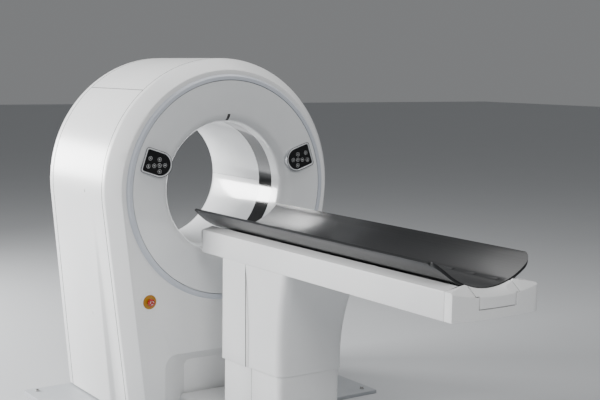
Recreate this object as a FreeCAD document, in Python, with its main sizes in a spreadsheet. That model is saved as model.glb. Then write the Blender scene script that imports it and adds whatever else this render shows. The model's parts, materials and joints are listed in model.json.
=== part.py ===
import FreeCAD, Part
import math
import os
import re
import Sketcher
from FreeCAD import Placement, Rotation, Vector

# CT scanner: gantry with a rotating measuring system, and a lifting patient table.
# Millimetres.  +Z is up, +Y runs through the bore from the table side to the rear, and the
# origin lies on the floor below the isocentre: the centre of the X-ray window on the bore axis.

SIZES = {
    # overall
    "iso_height": (1200, "bore axis above the floor"),
    "floor_plate": (20, "thickness of the floor plate"),
    "plate_half": (850, "half width of the floor plate under the gantry"),
    "plate_rear": (620, "rear edge of the floor plate"),
    "plate_front": (420, "front edge of the wide part of the floor plate"),
    "tongue_half": (330, "half width of the plate's tongue under the table"),
    "tongue_front": (1120, "front edge of the tongue"),
    "gap": (0.3, "fitting gap between separate pieces"),
    # gantry covers
    "cover_wall": (4, "wall of the moulded covers"),
    "gantry_radius": (683, "outer radius of the covers above the axis"),
    "front_taper": (6.9, "inward lean of the sides at the front seam, degrees"),
    "rear_taper": (5.3, "inward lean of the sides at the rear, degrees"),
    "front_face": (195, "front face ahead of the scan plane"),
    "front_seam": (85, "seam behind the front cover, ahead of the scan plane"),
    "ridge_start": (28, "soft ridge of the side covers behind the scan plane"),
    "ridge_length": (34, "depth of the soft ridge"),
    "rear_seam": (560, "seam ahead of the rear cover"),
    "rear_face": (650, "rear face behind the scan plane"),
    "edge_round": (60, "rounding of the rear cover's outer edge"),
    "bevel_width": (60, "bevel round the front face, across the face"),
    "bevel_depth": (80, "the same bevel, along the bore"),
    "bevel_shoulder": (22, "rounding between the bevel and the side"),
    "bevel_crease": (8, "rounding between the bevel and the face"),
    "seam_width": (3, "open joint between covers"),
    "top_split": (515, "joint between top and side covers, above the axis"),
    "cover_lift": (10, "covers' lower edge above the floor plate"),
    "plug_radius": (9, "screw plugs in the side covers"),
    "plug_height": (2, "height of a screw plug"),
    # bore
    "throat_radius": (349, "front funnel's throat"),
    "lip_radius": (60, "rounding between dish and throat"),
    "dish_angle": (5.3, "slope of the dish, degrees"),
    "dish_radius": (568, "outer radius of the funnel's dish"),
    "ring_plane": (207, "dish edge ahead of the scan plane"),
    "ring_gap": (3, "dark joint between dish and trim ring"),
    "ring_width": (29, "radial width of the trim ring"),
    "ring_proud": (14, "trim ring ahead of the front face"),
    "ring_bevel": (11, "outer bevel of the trim ring"),
    "spigot": (20, "depth of the trim ring's spigot"),
    "window_half": (67, "half width of the X-ray window"),
    "window_radius": (351.5, "inner radius of the X-ray window"),
    "window_wall": (3, "thickness of the X-ray window"),
    "liner_radius": (352, "rear liner"),
    "flare_radius": (74, "rounding of the liner's rear mouth"),
    "laser_half": (8, "half width of the positioning-laser slot"),
    # low recess and link cover
    "recess_half": (381, "half width of the recess at the front face"),
    "recess_top": (335, "top of the recess at the front face"),
    "recess_round": (70, "corner radius of the recess"),
    "recess_depth": (83, "depth of the recess"),
    "panel_half": (225, "half width of the recess at its back"),
    "panel_top": (275, "top of the recess at its back"),
    "link_half": (262, "half width of the link cover"),
    "link_height": (98, "top of the link cover above the floor"),
    "link_round": (28, "rounding of the link cover"),
    # control panels
    "panel_angle": (18.5, "direction of the panels above the horizontal, degrees"),
    "panel_centre": (441, "centre of the round end from the axis"),
    "panel_round": (64, "radius of the round end, half the panel's width"),
    "panel_outer": (538, "flat outer side from the axis"),
    "panel_corner": (14, "corner radius at the flat side"),
    "panel_plane": (217, "bezel's front ahead of the scan plane"),
    "panel_back": (183, "tray's back ahead of the scan plane"),
    "bezel_width": (7, "visible rim round the dark face"),
    "face_thick": (6, "dark face's thickness"),
    "key_radius": (11, "round keys"),
    "key_stroke": (1.2, "travel of a key"),
    "cross_x": (424, "centre of the key cross, from the axis"),
    "cross_z": (135, "centre of the key cross, above the axis"),
    "cross_pitch": (30.5, "distance of the outer keys in the cross"),
    # emergency stops
    "stop_x": (472, "emergency stops, sideways"),
    "stop_z": (631, "emergency stops, above the floor"),
    "stop_disc": (37, "radius of the yellow disc"),
    "stop_cap": (19, "radius of the mushroom cap"),
    "stop_stem": (9, "radius of the stem"),
    "stop_stroke": (5, "travel of the mushroom"),
    # stationary frame and drive
    "frame_radius": (640, "outer radius of the bearing plate"),
    "frame_front": (250, "front of the bearing plate"),
    "frame_thick": (40, "thickness of the bearing plate"),
    "race_radius": (480, "bore of the bearing's outer race"),
    "race_wall": (40, "radial width of the outer race"),
    "run_gap": (0.1, "running clearance"),
    "rotor_inner": (372, "bore of the rotor plate"),
    "rotor_radius": (600, "rotor plate, also the belt's large wheel"),
    "rotor_front": (195, "front of the rotor plate"),
    "rotor_thick": (30, "thickness of the rotor plate"),
    "pulley_radius": (60, "motor pulley"),
    "pulley_distance": (690, "motor axis from the bore axis"),
    "pulley_angle": (125, "motor axis, turned from +X towards the floor, degrees"),
    "belt_thick": (6, "drive belt"),
    "shaft_radius": (14, "motor shaft"),
    "motor_radius": (85, "motor body"),
    "motor_length": (180, "motor body"),
    "tube_radius": (80, "X-ray tube housing"),
    "tube_orbit": (515, "tube axis from the bore axis"),
    "tube_front": (70, "tube's front end ahead of the scan plane"),
    "detector_inner": (500, "detector arc, inner radius"),
    "detector_depth": (30, "detector arc, radial"),
    "detector_span": (100, "detector arc, degrees"),
    "detector_front": (40, "detector's front ahead of the scan plane"),
    # table beam
    "beam_half": (226, "half width of the beam"),
    "beam_head": (305, "head end of the beam ahead of the scan plane"),
    "beam_foot": (2209, "corners of the beam's foot end"),
    "beam_bow": (18, "bulge of the foot end"),
    "beam_top": (195, "top edge of the beam's sides below the axis"),
    "beam_bottom": (311, "underside of the beam below the axis"),
    "beam_wall": (4, "wall of the beam cover"),
    "ridge_half": (165, "ridge of the beam's top, half width"),
    "slot_half": (130, "half width of the slot in the beam's top"),
    "cap_length": (45, "foot-end cap up to its corners"),
    "shoulder_half": (128, "half width of the cap's saddle"),
    "shoulder_rise": (22, "cap's shoulders above the side edges"),
    "notch_half": (100, "half width of the cap's notch"),
    "notch_step": (18, "notch wider above its ledge, each side"),
    "notch_ledge": (89, "ledge of the notch above the underside"),
    "notch_floor": (39, "floor of the notch above the underside"),
    "notch_gap": (4, "open joint round the end block"),
    "band_tilt": (37, "slope of the hollow band over the foot end, degrees"),
    "band_radius": (3400, "radius of the hollow band"),
    "band_depth": (30, "hollow band's lowest point below the side edges"),
    "frame_floor": (10, "floor plate of the beam frame"),
    "web_inner": (136, "inner face of the frame's webs"),
    "web_thick": (8, "webs of the beam frame"),
    "rail_half": (122, "outer side of the linear rails"),
    "rail_width": (16, "linear rails"),
    "rail_height": (16, "linear rails"),
    # cradle
    "cradle_half": (250, "half width of the cradle"),
    "cradle_sag": (113, "depth of the cradle's trough"),
    "cradle_edge": (87, "upper edges of the cradle below the axis"),
    "cradle_thick": (12, "thickness of the cradle"),
    "cradle_head": (282, "head end of the cradle ahead of the scan plane"),
    "cradle_foot": (2158, "foot end of the cradle"),
    "cradle_corner": (50, "corner radius at the foot end"),
    "cradle_clear": (8, "cradle above the beam's top"),
    "carriage_foot": (2162, "foot end of the carriage, where the end block is bolted on"),
    "carriage_head": (1836, "head end of the carriage"),
    "carriage_deck": (37, "underside of the carriage plate above the beam's underside"),
    "carriage_thick": (14, "carriage plate"),
    "runner_length": (70, "runner blocks on the rails"),
    "saddle_half": (115, "half width of the carriage's saddle"),
    "screw_x": (97, "cradle screws, sideways"),
    "screw_first": (1855, "first row of cradle screws"),
    "screw_pitch": (131, "distance between the rows"),
    "screw_head": (8, "radius of a screw head"),
    "screw_shank": (4, "radius of a screw's shank"),
    "roller_y": (400, "support roller ahead of the scan plane"),
    "roller_half": (104, "half length of the support roller"),
    "roller_waist": (14, "roller's radius at its waist"),
    "roller_pin": (6, "roller's pin"),
    # pedestal
    "sleeve_head": (515, "head side of the upper sleeve"),
    "sleeve_seam": (732, "seam of the upper sleeve"),
    "sleeve_foot": (988, "foot side of the upper sleeve at its lower edge"),
    "sleeve_flare": (110, "flare of the foot side at the beam"),
    "sleeve_narrow": (36, "narrowing towards the foot side"),
    "sleeve_round": (50, "corner radius at the foot side"),
    "sleeve_edge": (377, "lower edge of the upper sleeve above the floor"),
    "sleeve_wall": (5, "wall of both sleeves"),
    "sleeve_step": (11, "lower sleeve inside the upper one, outer face to outer face"),
    "sleeve_shift": (19, "lower seam beyond the upper seam"),
    "lower_top": (535, "top of the lower sleeve above the floor"),
    "column_half": (100, "half width of the lift's outer column"),
    "column_near": (640, "head side of the outer column"),
    "column_far": (860, "foot side of the outer column"),
    "column_wall": (14, "wall of the outer column"),
    "column_top": (525, "top of the outer column above the floor"),
    "column_slide": (2, "sliding gap between the columns"),
    "inner_foot": (395, "lower end of the inner column above the floor"),
    "base_thick": (30, "table base plate"),
}

doc = FreeCAD.newDocument("ct_scanner")
sheet = doc.addObject("Spreadsheet::Sheet", "Sizes")
nodes = []


def fill_sheet():
    """Write every driving size into the sheet, with its alias and its meaning."""
    for row, (alias, (value, meaning)) in enumerate(SIZES.items(), 1):
        sheet.set(f"A{row}", meaning)
        sheet.set(f"B{row}", str(value))
        sheet.setAlias(f"B{row}", alias)
    doc.recompute()


def bound(text):
    """Turn a formula in size names into an expression on the sheet."""
    return re.sub(r"[a-z][a-z0-9_]*", lambda word: f"Sizes.{word[0]}" if word[0] in SIZES else word[0], text)


def size(text):
    """The present value of a formula."""
    value = sheet.evalExpression(bound(text))
    return float(getattr(value, "Value", value))


def bind(item, **formulas):
    """Bind properties to formulas; a double underscore stands for a dot."""
    for name, text in formulas.items():
        item.setExpression(name.replace("__", "."), bound(text))


def place(item, x="0", y="0", z="0"):
    """Bind an object's position."""
    bind(item, Placement__Base__x=x, Placement__Base__y=y, Placement__Base__z=z)
    return item


def node(item, label):
    """Register a finished piece under its name."""
    item.Label = label
    nodes.append(item)
    return item


# ---- primitives and booleans -------------------------------------------------------------

def block(name, x, y, z):
    """A box between low and high formulas on each axis."""
    item = doc.addObject("Part::Box", name)
    for side, (low, high) in zip(("Length", "Width", "Height"), (x, y, z)):
        item.setExpression(side, bound(f"({high}) - ({low})"))
    return place(item, x[0], y[0], z[0])


def rod(name, radius, y, x="0", z="iso_height"):
    """A cylinder along Y, from y[0] to y[1]."""
    item = doc.addObject("Part::Cylinder", name)
    bind(item, Radius=radius, Height=f"({y[1]}) - ({y[0]})")
    item.Placement = Placement(Vector(), Rotation(Vector(1, 0, 0), -90))
    return place(item, x, y[0], z)


def cut(name, base, *tools):
    """base without the tools."""
    tool = tools[0] if len(tools) == 1 else fuse(f"{name}_tools", *tools)
    item = doc.addObject("Part::Cut", name)
    item.Base, item.Tool = base, tool
    return item


def fuse(name, *items):
    """All items together; items that don't meet stay separate solids."""
    item = doc.addObject("Part::MultiFuse", name)
    item.Shapes = list(items)
    return item


def common(name, first, second):
    """What two items share."""
    item = doc.addObject("Part::Common", name)
    item.Base, item.Tool = first, second
    return item


# ---- sketched bodies ---------------------------------------------------------------------

def arc_between(start, end, radius, side):
    """An arc whose centre lies left or right of the chord, and which of its ends is the start."""
    chord = end - start
    normal = Vector(-chord.y, chord.x, 0).normalize()
    if side.startswith("right"):
        normal = normal * -1
    height = math.sqrt(max(radius * radius - chord.Length * chord.Length / 4, 0))
    centre = (start + end) * 0.5 + normal * height
    forward = side in ("left", "right_long")
    first, last = (start, end) if forward else (end, start)
    low = math.atan2(first.y - centre.y, first.x - centre.x)
    high = math.atan2(last.y - centre.y, last.x - centre.x)
    if high <= low:
        high += 2 * math.pi
    return Part.ArcOfCircle(Part.Circle(centre, Vector(0, 0, 1), radius), low, high), 1 if forward else 2


def draw(body, name, role, corners, offset="0"):
    """A closed sketch on one of the body's origin planes.

    A corner is (x, y), or (x, y, radius, side) where an arc leads on from it; side says on
    which side of the way the arc's centre lies, with _long for the longer arc.
    """
    sketch = body.newObject("Sketcher::SketchObject", name)
    planes = [feature for feature in body.Origin.OriginFeatures if feature.Role == role]
    sketch.AttachmentSupport = [(planes[0], "")]
    sketch.MapMode = "FlatFace"
    bind(sketch, AttachmentOffset__Base__z=offset)
    points = [Vector(size(corner[0]), size(corner[1]), 0) for corner in corners]
    starts = []
    for index, corner in enumerate(corners):
        start, end = points[index], points[(index + 1) % len(points)]
        if len(corner) == 2:
            sketch.addGeometry(Part.LineSegment(start, end), False)
            starts.append(1)
            continue
        arc, first = arc_between(start, end, size(corner[2]), corner[3])
        sketch.addGeometry(arc, False)
        starts.append(first)
    for index, start in enumerate(starts):
        after = (index + 1) % len(starts)
        sketch.addConstraint(Sketcher.Constraint("Coincident", index, 3 - start, after, starts[after]))
    for index, corner in enumerate(corners):
        for axis, line, formula, value in (("X", -2, corner[0], points[index].x),
                                           ("Y", -1, corner[1], points[index].y)):
            if formula == "0":
                sketch.addConstraint(Sketcher.Constraint("PointOnObject", index, starts[index], line))
                continue
            number = sketch.addConstraint(
                Sketcher.Constraint(f"Distance{axis}", -1, 1, index, starts[index], value))
            sketch.setExpression(f"Constraints[{number}]", bound(formula))
        if len(corner) > 2:
            number = sketch.addConstraint(Sketcher.Constraint("Radius", index, size(corner[2])))
            sketch.setExpression(f"Constraints[{number}]", bound(corner[2]))
    return sketch


def new_body(name, z="0"):
    """An empty body; z is iso_height for what is drawn round the bore axis."""
    body = doc.addObject("PartDesign::Body", name)
    bind(body, Placement__Base__z=z)
    return body


def pad(body, sketch, length, reverse=False):
    """Extrude a sketch."""
    item = body.newObject("PartDesign::Pad", f"{sketch.Name}_pad")
    item.Profile = sketch
    item.Reversed = reverse
    bind(item, Length=length)
    return item


def along_y(name, corners, y, z="iso_height"):
    """Extrude an X-Z outline from y[0] back to y[1]."""
    body = new_body(name, z)
    pad(body, draw(body, f"{name}_outline", "XZ_Plane", corners, f"-({y[0]})"), f"({y[1]}) - ({y[0]})", True)
    return body


def upright(name, corners, z):
    """Extrude a plan outline from z[0] up to z[1]."""
    body = new_body(name)
    pad(body, draw(body, f"{name}_outline", "XY_Plane", corners, z[0]), f"({z[1]}) - ({z[0]})")
    return body


def turned(name, corners, role="YZ_Plane", z="iso_height", angle="360"):
    """Revolve a profile (along the axis, radius) about the horizontal axis of its plane."""
    body = new_body(name, z)
    sketch = draw(body, f"{name}_profile", role, corners)
    item = body.newObject("PartDesign::Revolution", f"{name}_turn")
    item.Profile = sketch
    item.ReferenceAxis = (sketch, ["H_Axis"])
    item.Midplane = True
    bind(item, Angle=angle)
    return body


def lofted(name, role, sections, z="0", ruled=True):
    """Loft through (outline, offset) sections on planes of one direction."""
    body = new_body(name, z)
    sketches = [draw(body, f"{name}_section{number}", role, corners, offset)
                for number, (corners, offset) in enumerate(sections)]
    item = body.newObject("PartDesign::AdditiveLoft", f"{name}_loft")
    item.Profile = sketches[0]
    item.Sections = sketches[1:]
    item.Ruled = ruled
    return body


def bevel_edges(body, across, along, chosen):
    """Chamfer the edges of the body's tip that chosen accepts."""
    doc.recompute()
    base = body.Tip
    names = [f"Edge{number}" for number, edge in enumerate(base.Shape.Edges, 1) if chosen(edge.BoundBox)]
    item = body.newObject("PartDesign::Chamfer", f"{body.Name}_bevel")
    item.Base = (base, names)
    item.ChamferType = "Two distances"
    bind(item, Size=across, Size2=along)
    return body


def round_edges(body, radius, chosen):
    """Fillet the edges of the body's tip that chosen accepts."""
    doc.recompute()
    base = body.Tip
    names = [f"Edge{number}" for number, edge in enumerate(base.Shape.Edges, 1) if chosen(edge.BoundBox)]
    item = body.newObject("PartDesign::Fillet", f"{body.Name}_round")
    item.Base = (base, names)
    bind(item, Radius=radius)
    return body


def turn_about_bore(item, degrees):
    """Turn a piece that is drawn about the bore axis; a formula gives the angle from +X upwards."""
    item.Placement = Placement(item.Placement.Base, Rotation(Vector(0, -1, 0), 0))
    bind(item, Placement__Rotation__Angle=degrees)
    item.setExpression("Placement.Rotation.Axis.x", "0")
    item.setExpression("Placement.Rotation.Axis.y", "-1")
    item.setExpression("Placement.Rotation.Axis.z", "0")
    return item


# ---- outlines ----------------------------------------------------------------------------

def gantry_outline(radius, taper, bottom):
    """Round head and leaning sides, about the bore axis."""
    across = f"({radius})*cos({taper}*1deg)"
    down = f"-({radius})*sin({taper}*1deg)"
    foot = f"(({radius}) + ({bottom})*sin({taper}*1deg))/cos({taper}*1deg)"
    return [(foot, bottom), (across, down, radius, "right_long"), (f"-{across}", down), (f"-{foot}", bottom)]


def arch_outline(half, top, corner, bottom):
    """A doorway shape with rounded upper corners."""
    return [(half, bottom),
            (half, f"({top}) - ({corner})", corner, "left"),
            (f"({half}) - ({corner})", top),
            (f"({corner}) - ({half})", top, corner, "left"),
            (f"-({half})", f"({top}) - ({corner})"),
            (f"-({half})", bottom)]


def panel_outline(inset):
    """Control panel along +X: flat outer side, round inner side."""
    outer = f"panel_outer - ({inset})"
    half = f"panel_round - ({inset})"
    corner = f"panel_corner - ({inset})/2"
    return [("panel_centre", f"-({half})"),
            (f"{outer} - ({corner})", f"-({half})", corner, "left"),
            (outer, f"-({half}) + ({corner})"),
            (outer, f"({half}) - ({corner})", corner, "left"),
            (f"{outer} - ({corner})", half),
            ("panel_centre", half, half, "left"),
            (f"panel_centre - ({half})", "0", half, "left")]


def pedestal_outline(head, foot, wide, narrow, corner):
    """Plan of a sleeve part from its head side to its rounded foot side."""
    near = f"({wide})"
    far = f"({narrow})"
    return [(f"-{near}", f"-({head})"),
            (near, f"-({head})"),
            (far, f"-({foot}) + ({corner})", corner, "right"),
            (f"{far} - ({corner})", f"-({foot})"),
            (f"({corner}) - {far}", f"-({foot})", corner, "right"),
            (f"-{far}", f"-({foot}) + ({corner})")]


def plain_outline(head, foot, wide, narrow):
    """Plan of a sleeve part with straight sides."""
    return [(f"-({wide})", f"-({head})"), (wide, f"-({head})"),
            (narrow, f"-({foot})"), (f"-({narrow})", f"-({foot})")]


# ---- gantry covers -----------------------------------------------------------------------

def edges_across(plane, bottom):
    """A test for edges that lie in one plane across the bore axis, the bottom edge left out."""
    place = size(plane)
    low = size(bottom)

    def across(box):
        return abs(box.YMin - place) < 1e-3 and abs(box.YMax - place) < 1e-3 and box.ZMax > low + 1

    return across


def bevelled_cover(name, taper, y, inset, bottom):
    """A solid slice of the gantry with a broad bevel round its front face."""
    share = f"(1 + ({inset})*(sqrt(1/bevel_width^2 + 1/bevel_depth^2) - 1/bevel_width - 1/bevel_depth))"
    body = along_y(name, gantry_outline(f"gantry_radius - ({inset})", taper, bottom), y)
    bevel_edges(body, f"bevel_depth*{share}", f"bevel_width*{share}", edges_across(y[0], bottom))
    shoulder = f"{y[0]} + bevel_depth*{share}"
    round_edges(body, f"bevel_shoulder - ({inset})", edges_across(shoulder, bottom))
    return round_edges(body, f"bevel_crease - ({inset})", edges_across(y[0], bottom))


def rounded_cover(name, taper, y, inset, bottom):
    """A solid slice of the gantry whose rear edge is rounded."""
    body = along_y(name, gantry_outline(f"gantry_radius - ({inset})", taper, bottom), y)
    return round_edges(body, f"edge_round - ({inset})", edges_across(y[1], bottom))


def hollow_cover(name, taper, y, at_front):
    """The same slice as a moulded shell, open at its other end and below."""
    bottom = "floor_plate + cover_lift - iso_height"
    shift = "+ cover_wall" if at_front else "- cover_wall"
    slice_of = bevelled_cover if at_front else rounded_cover
    outer = slice_of(f"{name}_outer", taper, y, "0", bottom)
    inner = slice_of(f"{name}_inner", taper, (f"{y[0]} {shift}", f"{y[1]} {shift}"), "cover_wall",
                     f"{bottom} - cover_wall")
    return cut(f"{name}_shell", outer, inner)


def recess(name, inset):
    """Low recess of the front cover; a negative inset gives the outside of its wall."""
    bottom = "floor_plate + cover_lift - iso_height"
    front = arch_outline(f"recess_half - ({inset})", f"recess_top - iso_height - ({inset})",
                         f"recess_round - ({inset})", bottom)
    back = arch_outline(f"panel_half - ({inset})", f"panel_top - iso_height - ({inset})",
                        f"recess_round/2 - ({inset})", bottom)
    return lofted(name, "XZ_Plane", [(front, "front_face"), (back, f"front_face - recess_depth + ({inset})")],
                  "iso_height")


def front_cover():
    """Moulded front cover with ring opening, low recess and emergency-stop holes."""
    shell = hollow_cover("front_cover", "front_taper", ("-front_face", "-front_seam"), True)
    walled = fuse("front_cover_walled", shell, recess("recess_outside", "-cover_wall"))
    holes = [recess("recess_inside", "0"),
             rod("ring_opening", "dish_radius + ring_gap + ring_width - 4 + gap",
                 ("-front_face - 5", "-front_seam"))]
    for side in (-1, 1):
        holes.append(rod(f"stop_hole{side + 1}", "stop_stem + 3 + gap", ("-front_face - 5", "-front_face + 20"),
                         f"{side}*stop_x", "stop_z"))
    node(cut("front_cover_cut", walled, *holes), "front_cover")


def rear_cover():
    """Moulded rear cover with the liner's mouth."""
    shell = hollow_cover("rear_cover", "rear_taper", ("rear_seam", "rear_face"), False)
    mouth = rod("rear_mouth", "liner_radius + flare_radius + gap", ("rear_seam", "rear_face + 5"))
    node(cut("rear_cover_cut", shell, mouth), "rear_cover")


RIDGE_STEPS = ((0, 0), (0.25, 0.15), (0.5, 0.5), (0.75, 0.85), (1, 1))


def middle_covers():
    """Side covers and top cover; the sides step out to the rear along a soft upright ridge."""
    bottom = "floor_plate + cover_lift - iso_height"
    steps = [("front_seam - seam_width", 0)]
    steps += [(f"-ridge_start - {along}*ridge_length", share) for along, share in RIDGE_STEPS]
    steps += [("seam_width - rear_seam", 1)]
    solids = []
    for name, wall, low in (("outer", "0", bottom), ("inner", "cover_wall", f"{bottom} - cover_wall")):
        sections = [(gantry_outline(f"gantry_radius - {wall}",
                                    f"(front_taper + {share}*(rear_taper - front_taper))", low), offset)
                    for offset, share in steps]
        solids.append(lofted(f"middle_{name}", "XZ_Plane", sections, "iso_height"))
    shell = cut("middle_shell", *solids)
    depth = ("-front_seam", "rear_seam")
    wide = "gantry_radius + 10"
    split = "iso_height + top_split"
    top = block("top_region", (f"-({wide})", wide), depth, (split, "iso_height + gantry_radius + 10"))
    node(common("top_cover_cut", shell, top), "top_cover")
    side = block("side_region", ("0", wide), depth, ("floor_plate", f"{split} - seam_width"))
    right = node(common("side_cover_cut", shell, side), "side_cover_right")
    left = doc.addObject("Part::Mirroring", "side_cover_mirrored")
    left.Source = right
    left.Normal = Vector(1, 0, 0)
    node(left, "side_cover_left")


def cover_plugs():
    """Round plugs over the screws of the side covers: one at axis height, one low down."""
    upper = "sqrt(gantry_radius^2 - 12^2) + gap"
    lower = "(gantry_radius + (stop_z - 112 - iso_height)*sin(rear_taper*1deg))/cos(rear_taper*1deg) + gap"
    plugs = []
    for number, (x, y, z, tilt) in enumerate(((upper, "137", "iso_height - 12", "0"),
                                              (lower, "179", "stop_z - 112", "rear_taper"))):
        for side in (-1, 1):
            plug = doc.addObject("Part::Cylinder", f"plug{number}_{side + 1}")
            plug.Placement = Placement(Vector(), Rotation(Vector(0, side, 0), 90))
            bind(plug, Radius="plug_radius", Height="plug_height", Placement__Rotation__Angle=f"90 + {tilt}")
            plugs.append(place(plug, f"{side}*({x})", y, z))
    node(fuse("cover_plugs_all", *plugs), "cover_plugs")


# ---- bore --------------------------------------------------------------------------------

LIP_CENTRE = ("(-ring_plane + lip_radius*cos(dish_angle*1deg)"
              " + (dish_radius - throat_radius - lip_radius + lip_radius*sin(dish_angle*1deg))"
              "*tan(dish_angle*1deg))")


def lip_point(inset):
    """Where the dish runs into the lip, on the surface or inset behind it."""
    radius = f"(lip_radius - ({inset}))"
    return (f"{LIP_CENTRE} - {radius}*cos(dish_angle*1deg)",
            f"throat_radius + lip_radius - {radius}*sin(dish_angle*1deg)")


def front_funnel():
    """Dish, lip and throat in one moulding, with the laser slot and the panel openings."""
    end = "-window_half - gap"
    flange = "spigot - front_face"
    wall = "cover_wall"
    corners = [
        ("-ring_plane", "dish_radius"),
        (flange, "dish_radius"),
        (flange, "dish_radius + ring_gap + ring_width - 8"),
        (f"{flange} + {wall}", "dish_radius + ring_gap + ring_width - 8"),
        (f"{flange} + {wall}", f"dish_radius - {wall}"),
        (f"-ring_plane + {wall}*(1 + tan(dish_angle*1deg))", f"dish_radius - {wall}"),
        (*lip_point(wall), f"lip_radius - {wall}", "left"),
        (LIP_CENTRE, f"throat_radius + {wall}"),
        (end, f"throat_radius + {wall}"),
        (end, "throat_radius"),
        (LIP_CENTRE, "throat_radius", "lip_radius", "right"),
        lip_point("0"),
    ]
    blank = turned("funnel_blank", corners)
    span = ("-ring_plane", f"{LIP_CENTRE} - lip_radius*0.4")
    slot = block("laser_slot", ("-laser_half - gap", "laser_half + gap"), span,
                 ("iso_height + throat_radius", "iso_height + throat_radius + lip_radius*0.7"))
    pane = block("laser_pane", ("-laser_half", "laser_half"), (span[0], f"{span[1]} - gap"),
                 ("iso_height + throat_radius", "iso_height + throat_radius + lip_radius*0.7 - gap"))
    tools = [slot]
    for name, angle in (("right", "panel_angle"), ("left", "180 - panel_angle")):
        opening = along_y(f"panel_opening_{name}", panel_outline("-gap"), ("-panel_plane", "-panel_back + 20"))
        tools.append(turn_about_bore(opening, angle))
    node(cut("front_funnel_cut", blank, *tools), "front_funnel")
    node(common("laser_window_cut", blank, pane), "laser_window")


def front_trim_ring():
    """Bevelled ring round the dish, seated in the front cover's opening."""
    inner = "dish_radius + ring_gap"
    outer = f"{inner} + ring_width"
    face = "-front_face - gap"
    corners = [("-front_face - ring_proud", inner),
               ("-front_face - ring_proud", f"{outer} - ring_bevel"),
               (f"{face} - ring_proud/6", outer),
               (face, outer),
               (face, f"{outer} - 4"),
               ("spigot - front_face - gap", f"{outer} - 4"),
               ("spigot - front_face - gap", inner)]
    node(turned("trim_ring", corners), "front_trim_ring")


def bore_liners():
    """X-ray window and the two halves of the rear liner."""
    window = [("-window_half", "window_radius"), ("window_half", "window_radius"),
              ("window_half", "window_radius + window_wall"), ("-window_half", "window_radius + window_wall")]
    node(turned("window", window), "xray_window")
    start = "window_half + gap"
    bend = "rear_face - flare_radius"
    mouth = "liner_radius + flare_radius"
    profile = [(start, "liner_radius"),
               (bend, "liner_radius", "flare_radius", "left"),
               ("rear_face", mouth),
               ("rear_face - cover_wall", mouth, "flare_radius - cover_wall", "right"),
               (bend, "liner_radius + cover_wall"),
               (start, "liner_radius + cover_wall")]
    for name, turn in (("rear_liner_upper", 0), ("rear_liner_lower", 180)):
        half = turned(f"{name}_body", profile, angle="179.8")
        half.Placement = Placement(Vector(0, 0, size("iso_height")), Rotation(Vector(0, 1, 0), turn))
        bind(half, Placement__Base__z="iso_height")
        node(half, name)


# ---- control panels and emergency stops --------------------------------------------------

KEYS = (("centre", 0, 0), ("up", 0, 1), ("down", 0, -1), ("inner", -1, 0), ("outer", 1, 0),
        ("light", 1.69, 1.26), ("load", 2.08, -0.03))


def control_panels():
    """Two trays with a dark face and seven round keys each."""
    front = "-panel_plane"
    face_front = f"{front} + 1.5"
    face_back = f"{face_front} + face_thick"
    for name, side, angle in (("right", 1, "panel_angle"), ("left", -1, "180 - panel_angle")):
        tray = turn_about_bore(along_y(f"tray_{name}", panel_outline("0"), (front, "-panel_back")), angle)
        pocket = turn_about_bore(along_y(f"pocket_{name}", panel_outline("bezel_width"),
                                         (f"{front} - 1", f"{face_back} + gap")), angle)
        node(cut(f"tray_{name}_cut", tray, pocket), f"panel_tray_{name}")
        plate = turn_about_bore(along_y(f"plate_{name}", panel_outline("bezel_width + gap"),
                                        (face_front, face_back)), angle)
        holes = []
        for key, across, up in KEYS:
            x = f"{side}*(cross_x + ({across})*cross_pitch)"
            z = f"iso_height + cross_z + ({up})*cross_pitch"
            holes.append(rod(f"hole_{name}_{key}", "key_radius + gap", (f"{face_front} - 1", f"{face_back} + 1"), x, z))
            cap = rod(f"cap_{name}_{key}", "key_radius", (f"{front} + 0.5", f"{face_back} - key_stroke"), x, z)
            node(cap, f"key_{name}_{key}")
        node(cut(f"plate_{name}_cut", plate, *holes), f"panel_face_{name}")


def emergency_stops():
    """Yellow discs on the front cover, and red mushroom buttons that are pushed in."""
    bases = []
    for name, side in (("left", -1), ("right", 1)):
        x = f"{side}*stop_x"
        face = "-front_face - gap"
        disc = rod(f"stop_disc_{name}", "stop_disc", (f"{face} - 3", face), x, "stop_z")
        collar = rod(f"stop_collar_{name}", "stop_stem + 3", (f"{face} - 8", "-front_face + 30"), x, "stop_z")
        bore = rod(f"stop_bore_{name}", "stop_stem + gap", (f"{face} - 20", "-front_face + 26"), x, "stop_z")
        bases.append(cut(f"stop_base_{name}", fuse(f"stop_body_{name}", disc, collar), bore))
        body = turned(f"stop_button_{name}", [
            ("-front_face - 29", "0"),
            ("-front_face - 29", "stop_cap - 6", "6", "right"),
            ("-front_face - 23", "stop_cap"),
            ("-front_face - 9 - stop_stroke", "stop_cap"),
            ("-front_face - 9 - stop_stroke", "stop_stem"),
            ("-front_face + 20", "stop_stem"),
            ("-front_face + 20", "0")], z="stop_z")
        bind(body, Placement__Base__x=x)
        node(body, f"estop_button_{name}")
    node(fuse("stop_bases", *bases), "estop_bases")


# ---- stationary frame, bearing and drive -------------------------------------------------

PULLEY_X = "pulley_distance*cos(pulley_angle*1deg)"
PULLEY_Z = "iso_height - pulley_distance*sin(pulley_angle*1deg)"


def floor_plate():
    """Floor plate: wide under the gantry, with a tongue under the table."""
    corners = [("plate_half", "plate_rear"), ("-plate_half", "plate_rear"), ("-plate_half", "-plate_front"),
               ("-tongue_half", "-plate_front"), ("-tongue_half", "-tongue_front"),
               ("tongue_half", "-tongue_front"), ("tongue_half", "-plate_front"), ("plate_half", "-plate_front")]
    node(upright("plate", corners, ("0", "floor_plate")), "base_plate")


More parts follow.
